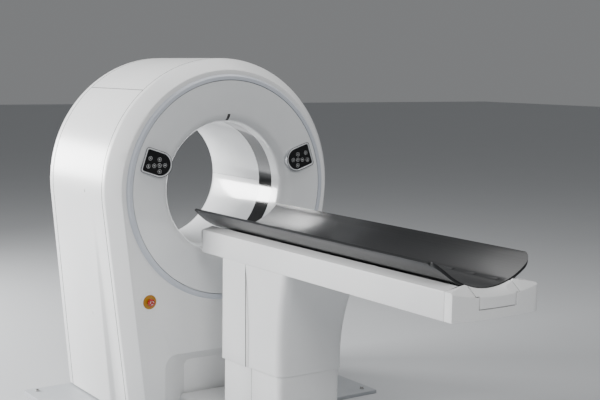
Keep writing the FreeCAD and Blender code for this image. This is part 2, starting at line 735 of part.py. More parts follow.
def stationary_frame():
    """Bearing plate on two rails, and the race it holds."""
    y = ("frame_front", "frame_front + frame_thick")
    plate = along_y("bearing_plate", gantry_outline("frame_radius", "front_taper", "floor_plate - iso_height"), y)
    rails = [block(f"foot_rail{side + 1}", x, ("30 - front_seam", "rear_seam - 20"), ("floor_plate", "floor_plate + 110"))
             for side, x in ((-1, ("-510", "-310")), (1, ("310", "510")))]
    beyond = ("frame_front - 5", "frame_front + frame_thick + 5")
    seat = rod("race_seat", "race_radius + race_wall + gap", beyond)
    passage = rod("shaft_passage", "shaft_radius + 3", beyond, PULLEY_X, PULLEY_Z)
    reach = "gantry_radius - cover_wall - gap - 0.4"
    mounts = [block("mount_left", (f"-({reach})", "-frame_radius + 60"), y, ("iso_height - 15", "iso_height + 15")),
              block("mount_right", ("frame_radius - 60", reach), y, ("iso_height - 15", "iso_height + 15")),
              block("mount_top", ("-15", "15"), y, ("iso_height + frame_radius - 60", f"iso_height + {reach}"))]
    node(cut("frame_cut", fuse("frame_welded", plate, *rails, *mounts), seat, passage), "gantry_frame")
    race = cut("race_cut", rod("race_blank", "race_radius + race_wall", y), rod("race_bore", "race_radius", beyond))
    node(race, "main_bearing")


def drive():
    """Motor with its pulley, and the belt round pulley and rotor."""
    y = ("rotor_front", "rotor_front + rotor_thick")
    back = "frame_front + frame_thick + gap"
    wheel = rod("pulley_wheel", "pulley_radius", y, PULLEY_X, PULLEY_Z)
    shaft = rod("pulley_shaft", "shaft_radius", (y[1], f"{back} + 60"), PULLEY_X, PULLEY_Z)
    node(fuse("pulley", wheel, shaft), "motor_pulley")
    motor = rod("motor_body", "motor_radius", (back, f"{back} + motor_length"), PULLEY_X, PULLEY_Z)
    bore = rod("motor_bore", "shaft_radius + run_gap", (f"{back} - 5", f"{back} + 65"), PULLEY_X, PULLEY_Z)
    node(cut("motor", motor, bore), "drive_motor")
    loops = []
    for name, extra in (("outside", "gap + belt_thick"), ("inside", "gap")):
        big = f"(rotor_radius + {extra})"
        small = f"(pulley_radius + {extra})"
        lean = "((rotor_radius - pulley_radius)/pulley_distance)"
        rise = f"sqrt(1 - {lean}^2)"
        corners = [(f"{big}*{lean}", f"{big}*{rise}", big, "right_long"),
                   (f"{big}*{lean}", f"-{big}*{rise}"),
                   (f"pulley_distance + {small}*{lean}", f"-{small}*{rise}", small, "left"),
                   (f"pulley_distance + {small}*{lean}", f"{small}*{rise}")]
        span = (f"{y[0]} + 1", f"{y[1]} - 1") if name == "outside" else (y[0], y[1])
        loops.append(turn_about_bore(along_y(f"belt_{name}", corners, span), "-pulley_angle"))
    node(cut("belt", *loops), "drive_belt")


def rotor():
    """Rotating measuring system: plate with hub, tube, detector, generator and cooler."""
    back = "rotor_front + rotor_thick"
    hub = "race_radius - run_gap"
    plate = turned("rotor_plate", [
        ("rotor_front", "rotor_inner"), ("rotor_front", "rotor_radius"), (back, "rotor_radius"), (back, hub),
        ("frame_front + frame_thick", hub), ("frame_front + frame_thick", f"{hub} - 40"),
        (back, f"{hub} - 40"), (back, "rotor_inner")])
    node(plate, "rotor_drum")
    node(rod("tube", "tube_radius", ("-tube_front", "rotor_front"), "0", "iso_height + tube_orbit"), "xray_tube")
    y = ("-detector_front", "rotor_front")
    sector = [rod("arc_outer", "detector_inner + detector_depth", y), rod("arc_inner", "detector_inner", y)]
    bind(sector[0], Angle="detector_span")
    for item in sector:
        item.Placement = Placement(Vector(), Rotation(Vector(1, 0, 0), -90) *
                                   Rotation(Vector(0, 0, 1), 90 - size("detector_span") / 2))
        place(item, "0", y[0], "iso_height")
    node(cut("arc", *sector), "detector_arc")
    for name, x in (("hv_generator", ("400", "560")), ("cooling_unit", ("-560", "-400"))):
        node(block(f"{name}_box", x, ("20", "rotor_front"), ("iso_height - 110", "iso_height + 110")), name)


# ---- table: pedestal ---------------------------------------------------------------------

SLEEVE_TOP = "iso_height - beam_bottom - gap"
FLARE_STEPS = ((0, 0), (0.36, 0.06), (0.68, 0.38), (1, 1))


def upper_foot_sections(inset):
    """Plans of the upper sleeve's foot half, from its lower edge to the beam."""
    sections = []
    slope = "sleeve_narrow/(sleeve_foot - sleeve_head)"
    for height, flare in FLARE_STEPS:
        foot = f"sleeve_foot + {flare}*sleeve_flare - ({inset})"
        wide = f"beam_half - (1 - {flare})*{slope}*(sleeve_seam - sleeve_head) - ({inset})"
        narrow = f"beam_half - (1 - {flare})*sleeve_narrow - ({inset})"
        plan = pedestal_outline(f"sleeve_seam - ({inset})", foot, wide, narrow, f"sleeve_round - ({inset})")
        sections.append((plan, f"sleeve_edge + {height}*({SLEEVE_TOP} - sleeve_edge)"))
    return sections


def upper_head_sections(inset):
    """Plans of the upper sleeve's head half: straight at the beam, narrowing below."""
    sections = []
    slope = "sleeve_narrow/(sleeve_foot - sleeve_head)"
    seam = f"sleeve_seam - seam_width/2 + ({inset})"
    for height, flare in FLARE_STEPS:
        narrow = f"beam_half - (1 - {flare})*{slope}*(sleeve_seam - sleeve_head) - ({inset})"
        plan = plain_outline(f"sleeve_head + ({inset})", seam, f"beam_half - ({inset})", narrow)
        sections.append((plan, f"sleeve_edge + {height}*({SLEEVE_TOP} - sleeve_edge)"))
    return sections


def upper_sleeve():
    """Two moulded halves that travel with the beam."""
    foot = cut("sleeve_foot_shell",
               lofted("sleeve_foot_outer", "XY_Plane", upper_foot_sections("0"), ruled=False),
               lofted("sleeve_foot_inner", "XY_Plane", upper_foot_sections("sleeve_wall"), ruled=False))
    node(foot, "upper_sleeve_foot")
    head = cut("sleeve_head_shell",
               lofted("sleeve_head_outer", "XY_Plane", upper_head_sections("0"), ruled=False),
               lofted("sleeve_head_inner", "XY_Plane", upper_head_sections("sleeve_wall"), ruled=False))
    node(head, "upper_sleeve_head")


def lower_sleeve():
    """Two moulded halves that stand on the floor plate inside the upper sleeve."""
    z = ("floor_plate", "lower_top")
    seam = "sleeve_seam + sleeve_shift"
    slope = "sleeve_narrow/(sleeve_foot - sleeve_head)"

    def half_width(y, inset):
        return f"beam_half - {slope}*(({y}) - sleeve_head) - sleeve_step - ({inset})"

    for name, inset in (("outer", "0"), ("inner", "sleeve_wall")):
        foot = pedestal_outline(f"{seam} - ({inset})", f"sleeve_foot - sleeve_step - ({inset})",
                                half_width(seam, inset), half_width("sleeve_foot", inset),
                                f"sleeve_round - sleeve_step - ({inset})")
        upright(f"lower_foot_{name}", foot, z)
        head = plain_outline(f"sleeve_head + sleeve_step + ({inset})", f"{seam} - seam_width/2 + ({inset})",
                             half_width("sleeve_head", inset), half_width(seam, inset))
        upright(f"lower_head_{name}", head, z)
    for part in ("head", "foot"):
        shell = cut(f"lower_{part}_shell", doc.getObject(f"lower_{part}_outer"), doc.getObject(f"lower_{part}_inner"))
        node(shell, f"lower_sleeve_{part}")


def lift():
    """Base plate and telescopic column that carry the beam."""
    base = block("base_block", ("-150", "150"), ("-column_far - 40", "-column_near + 40"),
                 ("floor_plate", "floor_plate + base_thick"))
    node(base, "table_base")
    y = ("-column_far", "-column_near")
    low = "floor_plate + base_thick"
    outer = block("column_outer", ("-column_half", "column_half"), y, (low, "column_top"))
    inside = "column_wall"
    bore = block("column_bore", (f"{inside} - column_half", f"column_half - {inside}"),
                 (f"{y[0]} + {inside}", f"{y[1]} - {inside}"), (f"{low} + 10", "column_top + 10"))
    node(cut("column_tube", outer, bore), "lift_outer_column")
    play = "(column_wall + column_slide)"
    inner = block("column_inner", (f"{play} - column_half", f"column_half - {play}"),
                  (f"{y[0]} + {play}", f"{y[1]} - {play}"), ("inner_foot", "iso_height - beam_bottom"))
    node(inner, "lift_inner_column")


def link_cover():
    """Low hollow cover between the gantry's recess and the table."""
    low = "floor_plate - iso_height"
    outer = along_y("link_outer", arch_outline("link_half", "link_height - iso_height", "link_round", low),
                    ("5 - sleeve_head", "recess_depth - front_face - 22"))
    inner = along_y("link_inner",
                    arch_outline("link_half - cover_wall", "link_height - cover_wall - iso_height",
                                 "link_round - cover_wall", f"{low} - cover_wall"),
                    ("5 - sleeve_head + cover_wall", "recess_depth - front_face - 22 - cover_wall"))
    node(cut("link_shell", outer, inner), "link_cover")


# ---- table: beam -------------------------------------------------------------------------

TROUGH = "((cradle_half^2 + cradle_sag^2)/(2*cradle_sag))"
TROUGH_CENTRE = f"({TROUGH} - cradle_edge - cradle_sag)"


def trough_height(radius, half):
    """Height of the trough's circle at a half width, about the bore axis."""
    return f"{TROUGH_CENTRE} - sqrt(({radius})^2 - ({half})^2)"


def beam_frame():
    """Extruded floor and webs with the linear rails, and the ears of the support roller."""
    floor = "-beam_bottom"
    deck = f"{floor} + frame_floor"
    web = "web_inner + web_thick"
    high = trough_height(f"{TROUGH} + cradle_thick + cradle_clear + beam_wall + 4", "web_inner")
    side = "beam_half - beam_wall - gap"
    half = [(side, floor), (side, deck), (web, deck), (web, high), ("web_inner", high),
            ("web_inner", deck), ("rail_half", deck), ("rail_half", f"{deck} + rail_height"),
            ("rail_half - rail_width", f"{deck} + rail_height"), ("rail_half - rail_width", deck)]
    mirrored = [(f"-({x})", z) for x, z in reversed(half)]
    y = ("cap_length - beam_foot - seam_width/2 + gap", "-beam_head - beam_wall - gap")
    profile = along_y("beam_profile", half + mirrored, y)
    centre = f"({trough_height(f'{TROUGH} + cradle_thick', '0')} - gap - roller_waist)"
    ears = []
    for side, x in ((-1, ("-roller_half - 8", "-roller_half - gap")), (1, ("roller_half + gap", "roller_half + 8"))):
        ears.append(block(f"roller_ear{side + 1}", x, ("-roller_y - 14", "-roller_y + 14"),
                          (f"iso_height + {deck}", f"iso_height + {centre} + roller_pin + 6")))
    pin = doc.addObject("Part::Cylinder", "roller_pin_hole")
    bind(pin, Radius="roller_pin + run_gap", Height="2*roller_half + 40")
    pin.Placement = Placement(Vector(), Rotation(Vector(0, 1, 0), 90))
    place(pin, "-roller_half - 20", "-roller_y", f"iso_height + {centre}")
    node(cut("beam_frame_cut", fuse("beam_frame_all", profile, *ears), pin), "beam_frame")

    edge = f"{TROUGH_CENTRE} - sqrt(({TROUGH} + cradle_thick + gap)^2 - (roller_half - 10)^2)"
    body = turned("roller", [
        ("-roller_half - 7", "0"), ("-roller_half - 7", "roller_pin"), ("-roller_half", "roller_pin"),
        ("-roller_half", f"{edge} - {centre}"),
        ("10 - roller_half", f"{edge} - {centre}", f"{TROUGH} + cradle_thick + gap", "left"),
        ("roller_half - 10", f"{edge} - {centre}"),
        ("roller_half", f"{edge} - {centre}"),
        ("roller_half", "roller_pin"), ("roller_half + 7", "roller_pin"), ("roller_half + 7", "0")],
        role="XZ_Plane", z=f"iso_height + {centre}")
    bind(body, Placement__Base__y="-roller_y")
    node(body, "support_roller")


def beam_cover():
    """Moulded sides, sloping top lips and head end; the frame closes it below."""
    ridge = trough_height(f"{TROUGH} + cradle_thick + cradle_clear", "ridge_half")
    lip = trough_height(f"{TROUGH} + cradle_thick + cradle_clear", "slot_half")
    groove = f"{TROUGH} + cradle_thick + cradle_clear"
    under = f"{groove} + beam_wall"
    under_ridge = trough_height(under, "ridge_half")
    under_lip = trough_height(under, "slot_half")
    inner = "beam_half - beam_wall"
    y = ("-beam_foot + cap_length", "-beam_head")
    for name, side in (("right", 1), ("left", -1)):
        bend = ("left", "right") if side == 1 else ("right", "left")
        corners = [("beam_half", "-beam_bottom"), ("beam_half", "-beam_top"), ("ridge_half", ridge, groove, bend[1]),
                   ("slot_half", lip), ("slot_half", under_lip, under, bend[0]), ("ridge_half", under_ridge),
                   (inner, "-beam_top - beam_wall"), (inner, "-beam_bottom")]
        sided = [(f"{side}*({corner[0]})", *corner[1:]) for corner in corners]
        along_y(f"beam_side_{name}", sided, y)
    end = along_y("beam_head_wall", [(inner, "-beam_bottom"), (inner, "-beam_top - beam_wall"),
                                     ("slot_half", "-beam_top - 32"), ("-slot_half", "-beam_top - 32"),
                                     (f"-({inner})", "-beam_top - beam_wall"), (f"-({inner})", "-beam_bottom")],
                  ("-beam_head - beam_wall", "-beam_head"))
    sides = [doc.getObject(f"beam_side_{name}") for name in ("left", "right")]
    node(fuse("beam_cover_all", *sides, end), "beam_cover")


def cap_plan(back, front):
    """Plan of the bowed foot end, from its straight back to the bulge of its front corners."""
    bow = "((beam_half^2 + beam_bow^2)/(2*beam_bow))"
    return [("beam_half", back), ("-beam_half", back), ("-beam_half", front, bow, "left"), ("beam_half", front)]


def hollow_band():
    """Large tilted cylinder that hollows the upper edge of the foot end."""
    item = doc.addObject("Part::Cylinder", "band")
    item.Placement = Placement(Vector(), Rotation(Vector(1, 0, 0), 90 + size("band_tilt")))
    bind(item, Radius="band_radius", Height="400", Placement__Rotation__Angle="90 + band_tilt")
    place(item, "0", "-beam_foot - beam_bow - band_radius*sin(band_tilt*1deg) + 200*cos(band_tilt*1deg)",
          "iso_height - beam_top - band_depth + band_radius*cos(band_tilt*1deg) + 200*sin(band_tilt*1deg)")
    return item


def foot_end():
    """Foot-end cap with its notch, and the end block that leaves it with the cradle."""
    low = "iso_height - beam_bottom"
    high = "iso_height - beam_top + shoulder_rise"
    saddle = f"({TROUGH} + 3)"
    back = "cap_length - beam_foot - seam_width/2"
    shoulder = trough_height(saddle, "shoulder_half")
    above = "100 - beam_top"
    over = [("beam_half + 5", f"{above}"), ("-beam_half - 5", f"{above}"), ("-beam_half - 5", "-beam_top"),
            ("-beam_half", "-beam_top"), ("-shoulder_half", shoulder, saddle, "left"), ("shoulder_half", shoulder),
            ("beam_half", "-beam_top"), ("beam_half + 5", "-beam_top")]
    top = along_y("foot_top", over, ("-beam_foot - beam_bow - 10", "cap_length - beam_foot + 10"))
    band = hollow_band()
    y = ("-beam_foot - beam_bow - 5", "cap_length - beam_foot + 5")
    notch = block("notch_low", ("-notch_half", "notch_half"), y, (f"{low} + notch_floor", f"{high} + 5"))
    wide = "notch_half + notch_step"
    ledge = block("notch_high", (f"-({wide})", wide), y, (f"{low} + notch_ledge", f"{high} + 5"))
    cap = upright("cap_blank", cap_plan(back, "-beam_foot"), (low, high))
    node(cut("end_cap_cut", cap, top, band, notch, ledge), "beam_end_cap")
    block_plan = upright("end_block_blank", cap_plan("-carriage_foot - gap", "-beam_foot"), (low, high))
    narrow = "notch_half - notch_gap"
    stem = block("end_block_low", (f"-({narrow})", narrow), y, (f"{low} + notch_floor + notch_gap", f"{high} + 5"))
    across = "notch_half + notch_step - notch_gap"
    head = block("end_block_high", (f"-({across})", across), y, (f"{low} + notch_ledge + notch_gap", f"{high} + 5"))
    inside = common("end_block_common", block_plan, fuse("end_block_tee", stem, head))
    node(cut("end_block_cut", inside, top, band), "cradle_end_block")


# ---- table: cradle -----------------------------------------------------------------------

def radial_rods(name, radius, inner, outer):
    """Rods square to the trough, at every cradle screw."""
    rods = []
    for row in range(3):
        for side in (-1, 1):
            item = doc.addObject("Part::Cylinder", f"{name}{row}_{side + 1}")
            lean = f"asin(screw_x/{TROUGH})"
            item.Placement = Placement(Vector(), Rotation(Vector(0, side, 0), 180 - size(lean)))
            bind(item, Radius=radius, Height=f"{outer} - ({inner})", Placement__Rotation__Angle=f"180 - {lean}/1deg")
            rods.append(place(item, f"{side}*({inner})*sin({lean})", f"-screw_first - {row}*screw_pitch",
                              f"iso_height + {TROUGH_CENTRE} - ({inner})*cos({lean})"))
    return fuse(f"{name}_all", *rods)


def cradle():
    """Trough-shaped top, screwed to the carriage."""
    outer = f"({TROUGH} + cradle_thick)"
    lean = f"asin(cradle_half/{TROUGH})"
    far = f"{outer}*sin({lean})"
    low = f"{TROUGH_CENTRE} - {outer}*cos({lean})"
    corners = [("cradle_half", "-cradle_edge"), (far, low, outer, "right"), (f"-{far}", low),
               ("-cradle_half", "-cradle_edge", TROUGH, "left")]
    trough = along_y("trough", corners, ("-cradle_foot", "-cradle_head"))
    wide = "cradle_half + 20"
    plan = [(f"-({wide})", "5 - cradle_head"), (f"-({wide})", "20 - cradle_foot + cradle_corner"),
            ("-cradle_half", "cradle_corner - cradle_foot", "cradle_corner", "left"),
            ("cradle_corner - cradle_half", "-cradle_foot"),
            ("cradle_half - cradle_corner", "-cradle_foot", "cradle_corner", "left"),
            ("cradle_half", "cradle_corner - cradle_foot"),
            (wide, "20 - cradle_foot + cradle_corner"), (wide, "5 - cradle_head")]
    rounded = common("cradle_rounded", trough, upright("cradle_plan", plan, ("iso_height - 300", "iso_height")))
    sunk = radial_rods("counterbore", "screw_head + gap", f"{TROUGH} - 10", f"{TROUGH} + 6")
    holes = radial_rods("clearance", "screw_shank + gap", f"{TROUGH} - 10", f"{TROUGH} + cradle_thick + 5")
    node(cut("cradle_cut", rounded, sunk, holes), "cradle")
    heads = radial_rods("head", "screw_head", f"{TROUGH} + 0.8", f"{TROUGH} + 5.8")
    shanks = radial_rods("shank", "screw_shank", f"{TROUGH} + 5", f"{TROUGH} + cradle_thick + 14")
    node(fuse("screws", heads, shanks), "cradle_screws")


def carriage():
    """Carriage on four runners, with the saddle that carries the cradle."""
    low = "iso_height - beam_bottom"
    rail_top = f"{low} + frame_floor + rail_height"
    y = ("-carriage_foot", "-carriage_head")
    deck = f"{low} + carriage_deck"
    plate = block("carriage_plate", ("-rail_half - 3", "rail_half + 3"), y, (deck, f"{deck} + carriage_thick"))
    saddle = block("carriage_saddle", ("-saddle_half", "saddle_half"), ("15 - carriage_foot", "-carriage_head"),
                   (f"{deck} + carriage_thick", "iso_height - beam_top + 10"))
    runners = []
    for end, start in (("foot", "20 - carriage_foot"), ("head", "-carriage_head - runner_length - 20")):
        for side in (-1, 1):
            x = (("rail_half - rail_width - 6", "rail_half + 6") if side == 1 else
                 ("-rail_half - 6", "rail_width + 6 - rail_half"))
            runners.append(block(f"runner_{end}{side + 1}", x, (start, f"{start} + runner_length"),
                                 (f"{low} + frame_floor + 4", deck)))
    grooves = [block(f"runner_groove{side + 1}", x, ("-carriage_foot - 5", "5 - carriage_head"),
                     (f"{low} + frame_floor", f"{rail_top} + gap"))
               for side, x in ((-1, ("-rail_half - gap", "rail_width + gap - rail_half")),
                               (1, ("rail_half - rail_width - gap", "rail_half + gap")))]
    seat = rod("saddle_seat", f"{TROUGH} + cradle_thick + gap", ("-carriage_foot - 5", "5 - carriage_head"),
               "0", f"iso_height + {TROUGH_CENTRE}")
    threads = radial_rods("thread", "screw_shank + run_gap", TROUGH, f"{TROUGH} + cradle_thick + 15")
    node(cut("carriage_cut", fuse("carriage_all", plate, saddle, *runners), *grooves, seat, threads),
         "cradle_carriage")


def write_parts():
    """Recompute, prove every object sound, and write one STEP file for each node."""
    doc.recompute()
    for item in doc.Objects:
        if "Invalid" in item.State or "Error" in item.State:
            raise SystemExit(f"{item.Name} does not compute")
    for item in nodes:
        if item.Shape.isNull() or not item.Shape.isValid() or not item.Shape.Solids:
            raise SystemExit(f"{item.Label} has no sound solid")
    os.makedirs("parts", exist_ok=True)
    for item in nodes:
        item.Shape.exportStep(f"parts/{item.Label}.step")


fill_sheet()
floor_plate()
stationary_frame()
drive()
rotor()
front_cover()
rear_cover()
middle_covers()
cover_plugs()
front_funnel()
front_trim_ring()
bore_liners()
control_panels()
emergency_stops()
lift()
lower_sleeve()
upper_sleeve()
link_cover()
beam_frame()
beam_cover()
foot_end()
cradle()
carriage()
write_parts()
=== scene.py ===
"""CT scanner: finishes, small fittings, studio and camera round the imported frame."""
import json
import logging
import math
from contextlib import contextmanager
from dataclasses import dataclass, field
from enum import Enum
from typing import Callable, Iterator

import bmesh
import bpy
from mathutils import Matrix, Vector


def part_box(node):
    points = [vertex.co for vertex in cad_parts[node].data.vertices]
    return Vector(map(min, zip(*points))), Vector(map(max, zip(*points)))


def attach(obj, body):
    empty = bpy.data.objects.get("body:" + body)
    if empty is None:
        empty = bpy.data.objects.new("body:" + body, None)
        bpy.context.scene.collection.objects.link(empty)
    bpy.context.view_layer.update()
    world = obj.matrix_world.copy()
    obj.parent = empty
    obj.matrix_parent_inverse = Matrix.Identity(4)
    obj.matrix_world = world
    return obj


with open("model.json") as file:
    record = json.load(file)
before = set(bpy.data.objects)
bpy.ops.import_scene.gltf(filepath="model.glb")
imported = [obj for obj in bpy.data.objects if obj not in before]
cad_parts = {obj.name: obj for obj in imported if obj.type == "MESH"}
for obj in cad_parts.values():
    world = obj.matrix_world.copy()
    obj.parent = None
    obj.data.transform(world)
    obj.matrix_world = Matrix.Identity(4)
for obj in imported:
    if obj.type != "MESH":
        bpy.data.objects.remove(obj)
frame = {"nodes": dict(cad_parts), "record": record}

Piece = bpy.types.Object
Socket = bpy.types.NodeSocket
Point = tuple[float, float, float]
Pair = tuple[float, float]

LOG = logging.getLogger("ct_scanner")
MM = 0.001
DOUBLED = 1e-6
ISO_HEIGHT = 1.2
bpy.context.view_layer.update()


class Role(Enum):
    """What a finish is on; each has its own surface pattern."""

    MOULDED = "moulded"
    GLOSSY = "glossy"
    BRUSHED = "brushed"
    CAST = "cast"
    WOVEN = "woven"
    RUBBER = "rubber"
    FLOOR = "floor"


class Side(Enum):
    """Left or right, as seen from the table."""

    LEFT = -1
    RIGHT = 1


# ---- small helpers -----------------------------------------------------------------------

def linear(code: str) -> tuple[float, float, float, float]:
    """Turn an sRGB hex colour into linear values.

    Args:
        code: Six hex digits after a hash sign.

    Returns:
        Linear red, green, blue and an alpha of one.
    """
    parts = [int(code[i:i + 2], 16) / 255 for i in (1, 3, 5)]
    red, green, blue = (p / 12.92 if p <= 0.04045 else ((p + 0.055) / 1.055) ** 2.4 for p in parts)
    return red, green, blue, 1.0


def deselect() -> None:
    """Leave nothing selected."""
    bpy.ops.object.select_all(action="DESELECT")


def pick(piece: Piece) -> None:
    """Select one piece and nothing else.

    Args:
        piece: The object that the next operator acts on.
    """
    deselect()
    piece.select_set(True)
    bpy.context.view_layer.objects.active = piece


@contextmanager
def editing(piece: Piece) -> Iterator[None]:
    """Work on a piece in edit mode, with nothing selected at first.

    Args:
        piece: The mesh object to edit.
    """
    pick(piece)
    bpy.ops.object.mode_set(mode="EDIT")
    bpy.ops.mesh.select_all(action="DESELECT")
    yield
    bpy.ops.object.mode_set(mode="OBJECT")


def choose_faces(piece: Piece, test: Callable[[Vector, Vector], bool]) -> None:
    """Select only the faces whose centre and normal pass a test.

    Args:
        piece: The mesh object in edit mode.
        test: Takes a face's centre and normal.
    """
    bpy.ops.mesh.select_mode(type="FACE")
    bpy.ops.mesh.select_all(action="DESELECT")
    mesh = bmesh.from_edit_mesh(piece.data)
    for face in mesh.faces:
        face.select_set(test(face.calc_center_median(), face.normal))
    bmesh.update_edit_mesh(piece.data)


def choose_edges(piece: Piece, test: Callable[[Vector, Vector], bool]) -> None:
    """Select only the edges whose middle and direction pass a test.

    Args:
        piece: The mesh object in edit mode.
        test: Takes an edge's middle and its unit direction.
    """
    bpy.ops.mesh.select_mode(type="EDGE")
    bpy.ops.mesh.select_all(action="DESELECT")
    mesh = bmesh.from_edit_mesh(piece.data)
    for edge in mesh.edges:
        start, end = (vertex.co for vertex in edge.verts)
        edge.select_set(test((start + end) / 2, (end - start).normalized()))
    bmesh.update_edit_mesh(piece.data)


def choose_points(piece: Piece, test: Callable[[bmesh.types.BMVert], bool]) -> None:
    """Select only the points that pass a test.

    Args:
        piece: The mesh object in edit mode.
        test: Takes a point of the mesh.
    """
    bpy.ops.mesh.select_mode(type="VERT")
    bpy.ops.mesh.select_all(action="DESELECT")
    mesh = bmesh.from_edit_mesh(piece.data)
    for point in mesh.verts:
        point.select_set(test(point))
    mesh.select_flush(True)
    bmesh.update_edit_mesh(piece.data)


def named(name: str) -> Piece:
    """Name the newest object and fix its place in its mesh.

    Args:
        name: The piece's name, also given to its mesh.

    Returns:
        The object.
    """
    piece = bpy.context.active_object
    piece.name = name
    piece.data.name = name
    bpy.ops.object.transform_apply(location=True, rotation=True, scale=True)
    return piece


def apply_modifier(piece: Piece, kind: str, **settings: object) -> None:
    """Add a modifier and apply it at once.

    Args:
        piece: The mesh object.
        kind: Blender's name for the kind of modifier.
        settings: The modifier's properties.
    """
    pick(piece)
    modifier = piece.modifiers.new(kind.title(), kind)
    for key, value in settings.items():
        setattr(modifier, key, value)
    bpy.ops.object.modifier_apply(modifier=modifier.name)


def smooth(piece: Piece, angle: float = 35.0) -> None:
    """Shade smooth, with sharp edges kept crisp.

    Args:
        piece: The mesh object.
        angle: Degrees above which an edge stays crisp.
    """
    pick(piece)
    bpy.ops.object.shade_smooth_by_angle(angle=math.radians(angle))


def tidy(piece: Piece) -> None:
    """Merge doubled points and turn all faces outwards.

    Args:
        piece: The mesh object.
    """
    with editing(piece):
        bpy.ops.mesh.select_all(action="SELECT")
        bpy.ops.mesh.remove_doubles(threshold=DOUBLED)
        bpy.ops.mesh.normals_make_consistent(inside=False)


def turn_piece(piece: Piece, degrees: float, axis: str = "Y",
               about: Point = (0, 0, ISO_HEIGHT)) -> None:
    """Turn a piece about a point and keep the result in its mesh.

    Args:
        piece: The piece to turn.
        degrees: The angle, right-handed about the axis.
        axis: X, Y or Z.
        about: A point on the axis.
    """
    centre = Vector(about)
    move = Matrix.Translation(centre) @ Matrix.Rotation(math.radians(degrees), 4, axis)
    piece.matrix_world = move @ Matrix.Translation(-centre) @ piece.matrix_world
    pick(piece)
    bpy.ops.object.transform_apply(location=True, rotation=True, scale=True)


def hoop(name: str, centre: Point, inner: float, outer: float,
         span: Pair, rounding: float = 0.0, steps: int = 96,
         sweep: float = 360.0) -> Piece:
    """A ring, or part of one, about an axis along Y, spun from its cross-section.

    Args:
        name: The piece's name.
        centre: A point on the axis; only x and z count.
        inner: Inner radius, in metres.
        outer: Outer radius, in metres.
        span: Lowest and highest y.
        rounding: Radius at the section's corners.
        steps: Segments round the ring.
        sweep: Degrees that the section is spun through.

    Returns:
        The finished mesh object.
    """
    deselect()
    middle = ((inner + outer) / 2 + centre[0], sum(span) / 2, centre[2])
    bpy.ops.mesh.primitive_plane_add(size=1, location=middle)
    bpy.context.active_object.scale = (outer - inner, span[1] - span[0], 1)
    piece = named(name)
    with editing(piece):
        bpy.ops.mesh.select_all(action="SELECT")
        if rounding:
            bpy.ops.mesh.bevel(offset=rounding, segments=3, affect="VERTICES")
            bpy.ops.mesh.select_all(action="SELECT")
        bpy.ops.mesh.delete(type="ONLY_FACE")
        bpy.ops.mesh.select_all(action="SELECT")
        bpy.ops.mesh.spin(steps=steps, angle=math.radians(sweep), center=(centre[0], 0, centre[2]),
                          axis=(0, 1, 0))
        bpy.ops.mesh.select_all(action="SELECT")
        bpy.ops.mesh.remove_doubles(threshold=DOUBLED)
        bpy.ops.mesh.fill_holes(sides=0)
    tidy(piece)
    smooth(piece)
    return piece


def prism(name: str, sides: int, centre: Pair, radius: float, span: Pair,
          turned: float = 0.0, stretch: Pair = (1.0, 1.0), rounding: float = 0.0) -> Piece:
    """A flat prism that faces along Y, with its edges rounded.

    Args:
        name: The piece's name.
        sides: Corners of its outline.
        centre: Its place in x and z.
        radius: Distance of the corners from the centre.
        span: Lowest and highest y.
        turned: Degrees that the outline is turned.
        stretch: Scale of the outline in x and z, before it is turned.
        rounding: Radius of its edges.

    Returns:
        The finished mesh object.
    """
    deselect()
    bpy.ops.mesh.primitive_cylinder_add(vertices=sides, radius=radius, depth=span[1] - span[0],
                                        location=(centre[0], sum(span) / 2, centre[1]),
                                        rotation=(math.radians(90), 0, 0))
    bpy.context.active_object.scale = (stretch[0], stretch[1], 1)
    piece = named(name)
    turn_piece(piece, turned, "Y", (centre[0], 0, centre[1]))
    if rounding:
        apply_modifier(piece, "BEVEL", width=rounding, segments=2, limit_method="ANGLE")
    tidy(piece)
    return piece


def join(name: str, pieces: list[Piece]) -> Piece:
    """Make several meshes one piece.

    Args:
        name: The piece's name.
        pieces: The mesh objects; the first one takes in the others.

    Returns:
        The joined object.
    """
    deselect()
    for piece in pieces:
        piece.select_set(True)
    bpy.context.view_layer.objects.active = pieces[0]
    bpy.ops.object.join()
    pieces[0].name = name
    pieces[0].data.name = name
    return pieces[0]


def copy_to(piece: Piece, name: str, move: Point) -> Piece:
    """Copy a piece with its own mesh and put it elsewhere.

    Args:
        piece: The piece to copy.
        name: The copy's name.
        move: How far the copy is moved.

    Returns:
        The copy, with its place in its mesh.
    """
    other = bpy.data.objects.new(name, piece.data.copy())
    other.data.name = name
    bpy.context.scene.collection.objects.link(other)
    other.location = move
    pick(other)
    bpy.ops.object.transform_apply(location=True, rotation=True, scale=True)
    return other


def hand_over(piece: Piece, finish: "Finish", body: str) -> Piece:
    """Give a piece its finish and its body, and report it.

    Args:
        piece: The finished mesh object.
        finish: What it is made of.
        body: The body it moves with.

    Returns:
        The same piece.
    """
    piece.data.materials.clear()
    piece.data.materials.append(finish.material())
    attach(piece, body)
    LOG.info("%s: %d faces on %s", piece.name, len(piece.data.polygons), body)
    return piece


# ---- finishes ----------------------------------------------------------------------------

class Tree:
    """A material's node tree, with one way to add a node."""

    def __init__(self, name: str) -> None:
        """Start an empty material.

        Args:
            name: The finish's name.
        """
        self.material = bpy.data.materials.new(name)
        self.material.use_nodes = True
        self.material.node_tree.nodes.clear()

    def add(self, kind: str, settings: dict | None = None, **inputs: object) -> bpy.types.Node:
        """Add a node.

        Args:
            kind: The node's type name.
            settings: Properties of the node itself.
            inputs: Values or output sockets by input name, with underscores for spaces.

        Returns:
            The new node.
        """
        node = self.material.node_tree.nodes.new(kind)
        for key, value in (settings or {}).items():
            setattr(node, key, value)
        for key, value in inputs.items():
            socket = node.inputs[int(key[1:])] if key[1:].isdigit() else node.inputs[key.replace("_", " ")]
            if isinstance(value, Socket):
                self.material.node_tree.links.new(value, socket)
            else:
                socket.default_value = value
        return node


